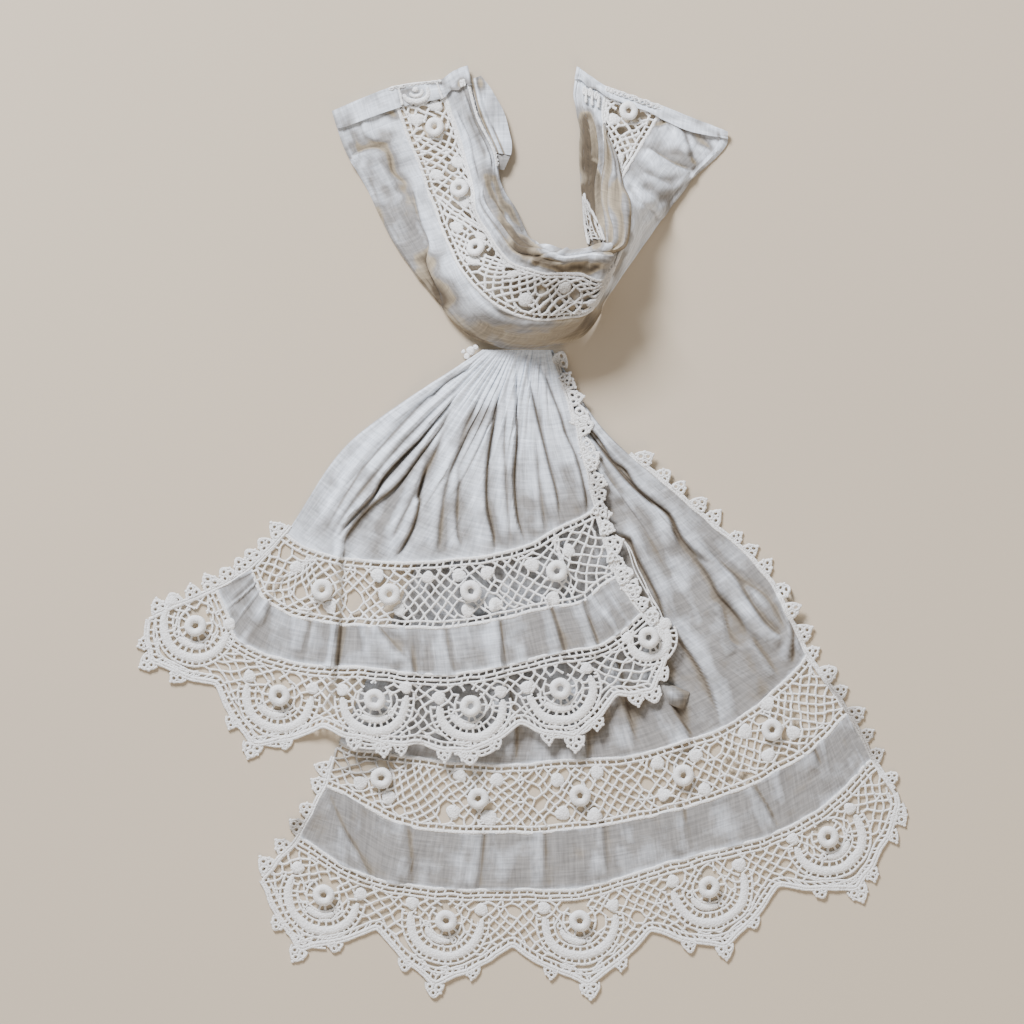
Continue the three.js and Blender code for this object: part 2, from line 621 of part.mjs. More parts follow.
// A place across the band, moved in by half a seam gap where it lies on a seam.
function besideSeam(along, across, from, to) {
  const low = from === OUTER ? from : from + seamInset(along, from, 1);
  const high = to === NECK ? to : to - seamInset(along, to, -1);
  return low + ((across - from) / (to - from)) * (high - low);
}

const COLLAR_LAST = COLLAR_SECTIONS.length - 1;
const BODY_START = END_HEM + END_GAP; // the strips of the collar run between its two end hems
const BODY_END = COLLAR_LAST - END_HEM - END_GAP;
const COLLAR_STEPS = COLLAR_LAST * 2;

function collarStripMesh(name, from, to, crossSteps) {
  const cells = gridCells(evenPlaces(BODY_START, BODY_END, COLLAR_STEPS), evenPlaces(from, to, crossSteps));
  const skins = (along, across) => collarSkins(along, besideSeam(along, across, from, to));
  return namedMesh(name, clothWall(cells, skins), LINEN);
}

function collarLaceMesh() {
  const cells = netCells(BODY_START, BODY_END, COLLAR_STEPS, NET_ROWS);
  const skins = (along, down) => {
    const across = besideSeam(along, LOWER_SEAM + down, LOWER_SEAM, UPPER_SEAM);
    return collarSkins(along, across);
  };
  return namedMesh("collar_lace_insertion", clothWall(cells, skins), LACE);
}

function collarHemMesh(name, from, to) {
  const places = [...evenPlaces(OUTER, UPPER_SEAM, 6), ...evenPlaces(UPPER_SEAM, NECK, 4).slice(1)];
  const cells = gridCells([from, to], places);
  return namedMesh(name, clothWall(cells, (along, across) => collarSkins(along, across, HEM)), LINEN);
}

function flapMesh() {
  const skins = (index, out) => {
    const { along, reach } = FLAP_REACH[index];
    const edge = collarMiddle(along, NECK);
    const [outX, outY] = unit(subtract(edge, collarMiddle(along, NECK - 1)).slice(0, 2));
    const far = out === 1 ? reach : TRIM_GAP;
    const under = [edge[0] + outX * far, edge[1] + outY * far, edge[2] - CLOTH / 2];
    return { under, upper: [under[0], under[1], under[2] + HEM] };
  };
  const cells = gridCells(evenPlaces(0, FLAP_REACH.length - 1, FLAP_REACH.length - 1), [0, 1]);
  return namedMesh("collar_left_flap", clothWall(cells, skins), LINEN);
}

// Rings
function ringGeometry() {
  const halfWidth = (RING_RADIUS - RING_HOLE) / 2;
  const profile = evenPlaces(0, 2 * Math.PI, RING_SECTION_SIDES).map(
    (turn) => new THREE.Vector2(
      RING_HOLE + halfWidth + halfWidth * Math.cos(turn),
      (RING_HEIGHT / 2) * Math.sin(turn)
    )
  );
  profile[RING_SECTION_SIDES].copy(profile[0]);
  return new THREE.LatheGeometry(profile, RING_SIDES).rotateX(Math.PI / 2);
}

// A ring sewn on a cloth, lifted clear of every fold under it. skins gives the cloth, and span
// says how far the ring reaches over it each way, in the cloth's own measures.
function ringMesh(name, skins, place, span) {
  const upper = (stepA, stepB) => skins(place[0] + stepA * span[0], place[1] + stepB * span[1]).upper;
  const centre = upper(0, 0);
  const crosswise = subtract(upper(1, 0), upper(-1, 0));
  const lengthwise = subtract(upper(0, 1), upper(0, -1));
  const normal = unit(crossProduct(crosswise, lengthwise));
  const outward = normal[2] < 0 ? normal.map((value) => -value) : normal;
  let clear = 0;
  const steps = evenPlaces(-1.2, 1.2, 12);
  for (const away of steps.flatMap((a) => steps.map((b) => subtract(upper(a, b), centre)))) {
    if (Math.hypot(...away) < RING_RADIUS + RING_MARGIN) clear = Math.max(clear, dotProduct(away, outward));
  }
  const lift = clear + RING_SEAT + RING_HEIGHT / 2;
  const mesh = namedMesh(name, ringGeometry(), LACE);
  mesh.position.set(...centre.map((value, axis) => value + outward[axis] * lift));
  mesh.quaternion.setFromUnitVectors(new THREE.Vector3(0, 0, 1), new THREE.Vector3(...outward));
  return mesh;
}

function fallRingMeshes(name, fall, rings) {
  return rings.map(({ band, across, down }, index) => {
    const skins = (a, b) => fall.skins(band, a, clamp(b, 0, 1));
    return ringMesh(`${name}_ring_${index + 1}`, skins, [across, down], FALL_RING_SPAN);
  });
}

function collarRingMeshes() {
  return COLLAR_RINGS.map(({ along, across }, index) =>
    ringMesh(`collar_ring_${index + 1}`, collarSkins, [along, across], COLLAR_RING_SPAN)
  );
}

const jabotCollar = new THREE.Group();
jabotCollar.add(
  collarStripMesh("collar_outer_strip", OUTER, LOWER_SEAM, 2),
  collarLaceMesh(),
  collarStripMesh("collar_neck_strip", UPPER_SEAM, NECK, 3),
  collarHemMesh("collar_left_end_hem", 0, END_HEM),
  collarHemMesh("collar_right_end_hem", COLLAR_LAST - END_HEM, COLLAR_LAST),
  flapMesh(),
  ...collarRingMeshes(),
  ...fallMeshes("long", FALLS.long),
  ...fallRingMeshes("long", FALLS.long, LONG_FALL_RINGS),
  ...fallMeshes("short", FALLS.short),
  ...fallRingMeshes("short", FALLS.short, SHORT_FALL_RINGS),
  ...SIDE_TRIMS.map(trimMesh)
);

export default jabotCollar;
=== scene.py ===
"""A jabot collar of sheer linen and crochet lace, laid out on a table and seen from straight above.

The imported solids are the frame, and every piece here dresses one of them. Linen is a thin wall of
cloth with its folds, gathers and crumples. Lace is crochet: every thread, bar and cord is a tube,
with worked discs, crescents and padded rings. Tables and working places are in millimetres, in the
frame's own axes: +Y to the neck, -Y to the hems, +Z up. Meshes are in metres.
"""

import math

import bpy
import numpy as np
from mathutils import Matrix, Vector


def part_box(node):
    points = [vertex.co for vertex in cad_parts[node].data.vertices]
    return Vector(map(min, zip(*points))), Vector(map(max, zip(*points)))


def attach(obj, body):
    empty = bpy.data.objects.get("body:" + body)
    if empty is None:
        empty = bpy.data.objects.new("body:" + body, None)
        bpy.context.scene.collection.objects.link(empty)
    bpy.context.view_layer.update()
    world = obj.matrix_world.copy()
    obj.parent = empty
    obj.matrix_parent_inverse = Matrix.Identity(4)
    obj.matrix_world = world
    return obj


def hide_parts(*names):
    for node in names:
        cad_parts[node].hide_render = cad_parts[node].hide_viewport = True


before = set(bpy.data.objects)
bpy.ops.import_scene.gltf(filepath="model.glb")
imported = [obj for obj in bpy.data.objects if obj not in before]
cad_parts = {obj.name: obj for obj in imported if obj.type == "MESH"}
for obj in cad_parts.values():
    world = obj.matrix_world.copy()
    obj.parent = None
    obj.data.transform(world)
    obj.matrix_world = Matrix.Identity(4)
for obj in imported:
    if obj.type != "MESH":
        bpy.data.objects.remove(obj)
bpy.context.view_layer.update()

bl_info = {
    "name": "Jabot collar",
    "version": (1, 0, 0),
    "blender": (4, 5, 0),
    "location": "3D View > Sidebar > Jabot",
    "description": "Dresses a jabot collar in linen and crochet lace",
    "category": "Object",
}

MM = 0.001
BODY = "root"
UP = np.array([0.0, 0.0, 1.0])

# The collar band, from the end of its left wing, round the front, to the end of its right wing.
OUTER, LOWER_SEAM, UPPER_SEAM, ROLL, NECK = COLLAR_LINES = range(5)
COLLAR_SECTIONS = np.array([
    # outer edge, lower seam, upper seam, roll line, neck edge
    [(-80.5, 176.5, 0.6), (-56, 186.5, 0.6), (-35.5, 189.5, 0.8), (-29, 193.5, 1.2), (-24, 195.5, 1.2)],
    [(-75, 160, 0.6), (-50, 168.5, 0.8), (-29.5, 172.5, 1.5), (-24.5, 174.5, 2), (-19.5, 176, 2)],
    [(-66.5, 145, 0.6), (-45, 157, 1.5), (-25, 158, 3), (-18, 160, 4), (-12, 159, 3)],
    [(-60.5, 132.5, 0.6), (-40, 143, 2.5), (-21, 144, 7), (-17, 147.5, 8), (-10.5, 147, 2)],
    [(-53, 119, 0.6), (-36, 132.5, 4.5), (-20, 134, 11), (-15.5, 139, 12), (-5, 138, 2)],
    [(-42, 104, 1), (-31.5, 120, 9), (-14.5, 124, 17), (-9, 128.5, 18), (1.5, 124.5, 3)],
    [(-32, 92, 1.5), (-24.5, 107.5, 17), (-6.5, 113, 24), (-1, 119, 25), (6.5, 120, 9)],
    [(-19.5, 80.5, 2.5), (-11.5, 95, 23), (2.5, 109.5, 29), (10, 118, 31), (10, 115, 20)],
    [(-3, 77, 4.2), (2.5, 89, 25), (10, 107.5, 31), (18.5, 116, 33), (17.5, 113, 22)],
    [(12, 78.4, 3.5), (17.5, 89.5, 24), (23.5, 107.5, 30), (29.5, 118, 32), (28, 115, 21)],
    [(24.5, 84, 2), (28, 92.5, 23), (32.5, 105, 28), (37, 119, 31), (32, 116, 19)],
    [(34.5, 99, 0.8), (35, 104, 21), (33.5, 113, 26), (31, 119, 28), (28, 118, 16)],
    [(47, 116.5, 0.6), (43, 124, 21), (34.5, 127, 18), (29.5, 128, 12), (25.5, 128, 5)],
    [(60.5, 135, 0.6), (43.5, 137, 20), (33, 141, 13), (28, 143.5, 8), (24.5, 144, 2)],
    [(71, 148.5, 0.6), (41, 147.5, 13), (34.5, 155, 11), (29, 157, 8), (23.5, 157.5, 2)],
    [(80, 156.5, 0.6), (48.5, 161, 6), (33.5, 167, 9), (28.5, 168.5, 8), (23.5, 169, 2)],
    [(85, 162.5, 0.6), (53.5, 170, 2), (33, 176.5, 4), (26, 179.5, 4), (21, 183, 2)],
    [(85.5, 168, 1), (58, 178.5, 0.8), (34.5, 186.5, 1), (27.5, 191, 1.5), (22.5, 195, 1.2)],
], float)
COLLAR_LAST = len(COLLAR_SECTIONS) - 1
END_HEM = 0.24  # length of the hem at the collar's ends, in sections
END_GAP = 0.03  # clearance beside that hem
BODY_START, BODY_END = END_HEM + END_GAP, COLLAR_LAST - END_HEM - END_GAP
HEM_LAP = BODY_START + 0.06  # how far the hem laps over the band

# Creases of the collar's outer strip, as in the falls: height, breadth to the left and to the right
# of the way that the line runs, and the line in plan.
OUTER_CREASES = [
    (1.3, 0.8, 3.2, [(-74, 153), (-69.7, 157.7), (-64.7, 160), (-59.2, 159.6)]),
    (1.3, 0.8, 3, [(-59.6, 160.5), (-57.6, 156), (-56.3, 150), (-49, 144)]),
    (1.4, 3.2, 0.8, [(-46.5, 146), (-45, 141.8), (-43.3, 133.8), (-41.6, 128.7), (-38.6, 120.8),
                     (-39.5, 113.2), (-35.3, 103.5), (-31, 94)]),
    (0.9, 2.4, 1.6, [(-63, 158), (-60.5, 143.4), (-57, 130.8), (-53, 122.4), (-46.5, 112.5), (-39.5, 103)]),
    (0.7, 1.2, 2.4, [(-75, 168), (-71, 160), (-72, 150)]),
    (0.7, 2, 1.2, [(-68, 174), (-64, 166), (-55, 164)]),
    (1, 3.2, 0.9, [(-36, 100), (-29, 90.5), (-19, 83), (-9, 79.5)]),
    (0.8, 1.4, 3, [(-24, 103), (-17, 94), (-8, 88.5), (4, 86)]),
    (0.7, 1.2, 3, [(-8, 92), (4, 88.5), (16, 88.5), (26, 91)]),
    (1, 1, 2.6, [(12, 78), (21.5, 81.5), (28, 88.5), (31.5, 96)]),
    (0.9, 0.8, 2.2, [(56, 167), (60.5, 171), (64, 170.3), (67.2, 164.4), (69.7, 155)]),
    (1.3, 0.8, 3.6, [(50.5, 160.5), (57, 156.5), (63.4, 152.7), (70, 150.5)]),
    (0.7, 1.2, 2.6, [(48.7, 150), (55, 146.8), (62.2, 144)]),
    (1, 3.2, 0.9, [(44.5, 148), (48.7, 140), (54.5, 135.5), (57, 131)]),
    (0.8, 1.6, 1, [(42.2, 142), (44.6, 133), (45, 124.5), (41.5, 113)]),
    (0.6, 1, 2, [(72, 165), (69, 158), (71, 152)]),
    (0.6, 1.4, 1, [(60, 142), (66, 147), (72, 151)]),
    (0.6, 1.2, 2, [(50, 128), (55, 134), (60, 139)]),
]
# Creases of its neck strip, by places along and across the band.
NECK_CREASES = [
    (1.2, 0.8, 2.2, [(0.4, 3.25), (1, 3.45), (1.8, 3.35), (2.6, 3.5)]),
    (0.9, 0.8, 2, [(0.6, 2.3), (1.4, 2.5), (2.2, 2.35), (3, 2.5)]),
    (1.2, 0.7, 2.4, [(2.6, 2.25), (4.2, 2.4), (5.6, 2.5), (7.2, 2.42), (8.6, 2.45)]),
    (1.4, 0.7, 2.4, [(3, 2.75), (4.6, 2.78), (6.4, 2.85), (8, 2.72), (9.8, 2.7), (10.8, 2.6)]),
    (1.1, 0.7, 2.2, [(3.6, 3.2), (5, 3.3), (6.6, 3.2), (8.4, 3.3), (10, 3.2)]),
    (0.9, 0.7, 2, [(4.6, 3.7), (6.4, 3.62), (8, 3.7), (9.6, 3.64), (11, 3.7)]),
    (1, 1, 2, [(6.6, 2.2), (7.6, 2.9), (8, 3.8)]),
    (1.2, 0.7, 2.4, [(10.4, 2.15), (11.6, 2.3), (13.2, 2.5), (14.6, 2.45), (15.8, 2.7)]),
    (1.4, 0.7, 2.4, [(10.8, 2.7), (12, 2.85), (13.6, 3), (15, 2.95), (16.2, 3.3)]),
    (1.1, 0.7, 2.2, [(11.2, 3.3), (12.4, 3.35), (14, 3.55), (15.2, 3.6)]),
]
# Soft folds of the collar: place along and across it, length and breadth in sections, height.
COLLAR_FOLDS = [
    (1.6, 0.55, 0.5, 0.3, 0.8), (3.4, 0.5, 0.9, 0.2, 1), (5.2, 0.45, 0.8, 0.2, 1.2),
    (13.2, 0.5, 0.5, 0.3, 1.2), (15.2, 0.45, 0.4, 0.3, 1.2),
]
# Places along the collar, and how far the doubled flap reaches out there.
FLAP_REACH = [(0.3, 5), (0.7, 8.5), (1.1, 10.5), (1.55, 9.5), (2, 6.5)]

# The two falls. A section runs down a fall and gives its place at the two seams of its insertion,
# at the seam of its edging and at the hem. The first section is at the left.
TOP, FOOT, EDGE, HEM = range(4)
SHORT_SECTIONS = [
    # top seam, foot seam, edging seam, hem
    [(-100, -1), (-114.5, -16), (-129, -24.5), (-158, -37)],
    [(-97, -4), (-112.5, -21), (-124.5, -35), (-160.5, -57)],
    [(-93, -6.5), (-109, -28), (-121, -45), (-129.5, -64)],
    [(-83.5, -10), (-98, -35), (-103, -53.5), (-115, -94.5)],
    [(-75, -11.5), (-80, -38.5), (-82.5, -56.5), (-84.5, -81.5)],
    [(-61, -13), (-64.5, -39.5), (-65, -57.5), (-58.5, -93.5)],
    [(-48, -13), (-48, -40), (-46.5, -59.5), (-44.5, -88)],
    [(-32, -12), (-32, -40), (-29, -60), (-22.5, -97)],
    [(-13.5, -10), (-10, -37), (-7, -56), (-1.5, -80)],
    [(2.5, -5.5), (9, -32), (14.5, -51), (22, -91.5)],
    [(17, 2.5), (23.5, -29.5), (32, -47.5), (38.5, -68)],
    [(25.5, 6.5), (32, -23), (42.5, -40.5), (55.5, -71)],
    [(29.5, 8.5), (38.5, -19), (49, -35), (60.5, -47.5)],
]
LONG_SECTIONS = [
    [(-77.5, -88.5), (-83, -107), (-94, -128.5), (-110, -147)],
    [(-72, -91), (-76, -110), (-78, -139), (-96.5, -180)],
    [(-52, -94.5), (-53.5, -122), (-58.5, -147), (-61.5, -166)],
    [(-29, -97), (-29, -126), (-32.5, -150), (-38, -195)],
    [(-5, -98), (-4, -126.5), (-4.5, -150.5), (-5, -173.5)],
    [(19.5, -96), (22.5, -125), (23.5, -150), (28, -195)],
    [(42.5, -95), (48, -120.5), (51, -142), (53.5, -166.5)],
    [(67, -88.5), (74, -114), (76, -135), (85.5, -179)],
    [(88.5, -80), (98.5, -105), (102.5, -128), (107, -148)],
    [(104, -67.5), (117, -94), (122, -118), (142, -154)],
    [(111.5, -61), (127.5, -85.5), (135, -107.5), (149.5, -132.5)],
    [(116, -56), (132.5, -80), (142, -99.5), (159.5, -122)],
    [(118.5, -52), (136, -76.5), (146, -96), (156, -110.5)],
]
GATHER_LINE = 76.2  # the gathered tops of both falls lie along this line
SHORT_PANEL = [  # left edge, middle and right edge, a row for each equal step down
    [(-17.5, GATHER_LINE), (-3, GATHER_LINE), (11, GATHER_LINE)],
    [(-72, 38.5), (-22.5, 27), (22, 42.5)],
]
LONG_PANEL = [
    [(-13.5, GATHER_LINE), (0, GATHER_LINE), (12, GATHER_LINE)],
    [(-27.5, 35), (10, 33), (33.5, 42.5)],
    [(-41.5, -5.5), (20, -10), (68.5, 11.4)],
    [(-59.5, -47), (31, -53), (100, -17)],
]
GATHER_LIFT, GATHER_RISE, LAYER_LIFT = 2.7, 30, 4.4  # how the short fall climbs over the long one
LAYER_START, LAYER_END = 2, 22  # and sinks to the table beyond it
HEM_POINT = 4.2  # how far the small points of the hem stand out, halfway to each tip

# Creases that the cloth keeps: the height of the ridge, its breadth to the left and to the right
# of the way that its line runs down the cloth, and that line. A furrow lies along the steep side.
SHORT_CREASES = [
    (3, 1, 7, [(-27.7, 59), (-33, 54), (-44.5, 40), (-49, 35.5), (-55, 29.5), (-60.5, 23), (-64.5, 16),
               (-75, 5), (-80.5, -4)]),
    (2.4, 1, 3.2, [(-30, 56), (-36.5, 44.5), (-45.5, 32), (-50.5, 25), (-56, 19), (-63, 13.5), (-70, 6.5),
                   (-76, -1.5), (-78, -8.5)]),
    (2.4, 1, 5, [(-41, 36), (-44.5, 22.5), (-46, 15), (-45.5, 12), (-48, 3), (-51.5, -4), (-56.5, -12)]),
    (1.5, 1.3, 3, [(-33, 48), (-41, 30), (-52, 8), (-58, -4)]),
    (2.2, 1, 6, [(-10, 68), (-13.5, 51.5), (-16, 37), (-17.5, 21), (-17, 9), (-14.5, -2), (-14, -10)]),
    (2, 0.8, 4.5, [(-4.6, 75.5), (-4.6, 60), (-4.6, 38.5), (-5.5, 22.5), (-4, 5), (0, -6.5)]),
    (2, 0.8, 5, [(0, 74.5), (1.6, 59.5), (5, 44.5), (8.7, 29.5), (12, 17), (14, 4)]),
    (2, 0.8, 4.5, [(2.5, 74.5), (8, 63), (14, 48), (16, 41), (21, 29.5), (24.5, 15), (25, 5)]),
    (1.4, 1.2, 4, [(-29, 30), (-29.5, 17), (-30, 7.5), (-29.5, -1.5), (-27.5, -9)]),
    (1.7, 2.2, 3, [(-31, 67.5), (-45, 56), (-60, 40), (-71, 27), (-80.5, 12), (-88.5, -2)]),
    (1.3, 1.4, 3, [(-26, 66), (-38, 54), (-50, 42), (-62, 28), (-76, 10), (-84, -4)]),
    (1.2, 1.2, 3, [(-20, 72), (-33, 65), (-41, 57)]),
    (1.3, 1.3, 3, [(-19, 62), (-26, 44), (-34, 22), (-37, 2), (-38, -11)]),
    (1.2, 1.2, 3.5, [(-8, 70), (-10, 40), (-9, 14), (-7, -8)]),
    (1.1, 1.2, 3.5, [(3, 46), (4, 26), (6, 10), (7, -2)]),
    (3.4, 1.5, 1.8, [(-76.5, -2), (-78.5, -14), (-79, -37), (-81, -56), (-83.5, -80)]),
    (1.8, 1.4, 5, [(-50, -46), (-48, -58), (-46, -74), (-43.5, -92)]),
    (1.8, 1.2, 5, [(-14, -28), (-12, -37), (-10, -56), (-8, -66)]),
    (2.2, 1.2, 6, [(8, -24), (10, -33), (15, -50), (17, -62)]),
    (1.8, 1.2, 4, [(22, -20), (23.5, -31), (28.5, -45.5), (31, -54)]),
    (1.8, 2.5, 5, [(-70, -34), (-62, -44), (-50, -57)]),
    (1.3, 1.6, 4, [(-100, -14), (-107, -26), (-112, -40)]),
    (1.2, 2, 4, [(-90, -28), (-93, -40), (-96, -52)]),
    (1.4, 1.6, 5, [(-36, -34), (-34, -48), (-31, -62)]),
]
LONG_CREASES = [
    (3.4, 7, 1.1, [(20, 52), (24, 47), (31.5, 41), (38, 31), (43.5, 27), (48, 20), (54, 14.5),
                   (62.5, 7.5), (67.5, -2), (74, -8.5), (82, -14)]),
    (3, 1.3, 6, [(19, 48), (25, 42), (33, 31), (42, 20), (50, 13), (59, 6), (62, -2), (66, -10)]),
    (1.8, 1.2, 3, [(18, 48), (28, 33), (35, 21), (42, 12)]),
    (3, 5.5, 1.4, [(33, 12), (39.5, 1), (46, -2), (49, -9.5), (54, -19), (58.5, -28), (61, -37.5),
                   (64.5, -41.5), (70.5, -49.5), (77, -60), (82.5, -74), (84, -86)]),
    (2.6, 5, 2, [(66, -2), (75.5, -11), (80.5, -18), (84, -25), (92, -34), (98, -44)]),
    (2.4, 1.6, 5, [(84, -16), (88.5, -23), (92.5, -30), (99, -39), (104.5, -44), (108.5, -46)]),
    (1.5, 2, 5, [(81, -27), (82, -37.5), (85, -46.5), (89, -50.5)]),
    (1.5, 1.2, 4, [(94, -45), (96.5, -49), (100.5, -54.5), (105.5, -62.5)]),
    (2, 1.3, 3.5, [(106, -26), (108, -30), (111, -41.5), (110, -58)]),
    (1.6, 1.2, 3, [(110, -30), (112, -33.5), (115, -52)]),
    (1.4, 2, 5, [(70, -4), (86, -20), (100, -30), (110, -48)]),
    (2, 1.6, 6, [(36, -50), (38, -58), (40.5, -71), (45.5, -94)]),
    (2.4, 1.8, 7, [(50, -44), (59, -71), (66, -84), (69.5, -92)]),
    (1.6, 1.5, 6, [(84, -84), (93, -104.5), (100, -116), (105.5, -127)]),
    (1.8, 1.6, 5, [(106, -66), (116, -84), (124, -102)]),
    (1.4, 1.6, 5, [(31, -112), (32, -125.5), (33.5, -146)]),
    (1.6, 1.6, 6, [(-86, -106), (-77.5, -125.5), (-70, -138), (-64.5, -150)]),
    (1.8, 1.8, 8, [(-10, -62), (-6, -80), (-6, -98)]),
    (1.4, 1.5, 6, [(8, -118), (7, -132), (8, -152)]),
    (1.4, 1.5, 6, [(62, -106), (66, -122), (68, -136)]),
    (1.5, 1.8, 6, [(-52, -120), (-50, -134), (-50, -150)]),
    (1.4, 1.6, 6, [(-18, -122), (-20, -136), (-22, -152)]),
    (1.6, 1.8, 7, [(20, -62), (24, -80), (24, -98)]),
]

# Worked discs of the two insertions: place and radius.
SHORT_DISCS = [
    (-61.5, -18.5, 2.7), (-81.5, -31.5, 2.6), (-27, -18.5, 2.8), (-15.5, -17.5, 2.9),
    (-23.5, -33, 2.6), (-12, -31, 2.8), (3.5, -14, 2.8), (12, -28, 2.9), (-96, -15, 2.6),
    (-52, -33, 2.5), (-40, -19, 2.5), (19, -8, 2.6),
]
LONG_DISCS = [
    (-69, -105.5, 2.8), (-57, -111.5, 2.8), (-30, -118, 2.9), (-27, -102.5, 2.6),
    (-14.5, -120.5, 3.4), (-11.5, -104, 2.8), (16, -118.5, 2.9), (14, -104.5, 2.8),
    (29.5, -119, 2.9), (30.5, -101, 2.9), (56, -97, 2.8), (72, -94, 2.8), (59, -110.5, 2.8),
    (76, -108.5, 2.8), (93, -84, 2.8), (102.5, -94, 2.8), (102, -72, 2.8), (113, -84.5, 2.8),
]
# Scallops of the edgings: the number of the ring at the heart of each, the radius of its crescent,
# the way that it opens, in degrees round from +X, and half the spread of the crescent.
SHORT_SCALLOPS = [
    (5, 13.5, -112, 100), (6, 14, -100, 98), (7, 13.5, -88, 96), (8, 13.5, -85, 96),
    (9, 13.5, -72, 96), (10, 8.5, -70, 95),
]
LONG_SCALLOPS = [
    (6, 15, -112, 100), (7, 15, -95, 98), (8, 15, -88, 98), (9, 15, -76, 98), (10, 14.5, -62, 100),
]

# Picot trims along the sides of the falls, a point for each cluster. A trim runs from one depth
# to another: 0 the gathering, 1 and 2 the insertion's seams, 3 the edging, 4 the hem.
SIDE_TRIMS = [
    # fall, side, from, to, points, reach
    ("short", "left", 0.92, 3.95, 9, 6.2),
    ("short", "right", 0.03, 3.9, 18, 6.6),
    ("long", "left", 1.3, 3.95, 6, 5.8),
    ("long", "right", 0.3, 3.9, 18, 5.6),
]
COLLAR_RINGS = [(1.1, 1.5), (3.05, 1.6), (5.4, 1.5), (16.3, 1.45)]  # places along and across
# Discs of the collar's insertion, as lengths along its flat strip, places across it, and radii.
COLLAR_DISCS = [
    (6, 13, 2.6), (10, 5, 2.5), (30, 14, 2.6), (36, 5, 2.4), (48, 13, 2.6), (60, 6, 2.5),
    (66, 14, 2.5), (78, 6, 2.6), (92, 14, 2.6), (104, 7, 2.6), (118, 13, 2.6), (132, 7, 2.6),
    (148, 13, 2.6), (164, 7, 2.5), (180, 13, 2.5), (196, 7, 2.5), (212, 13, 2.5),
]

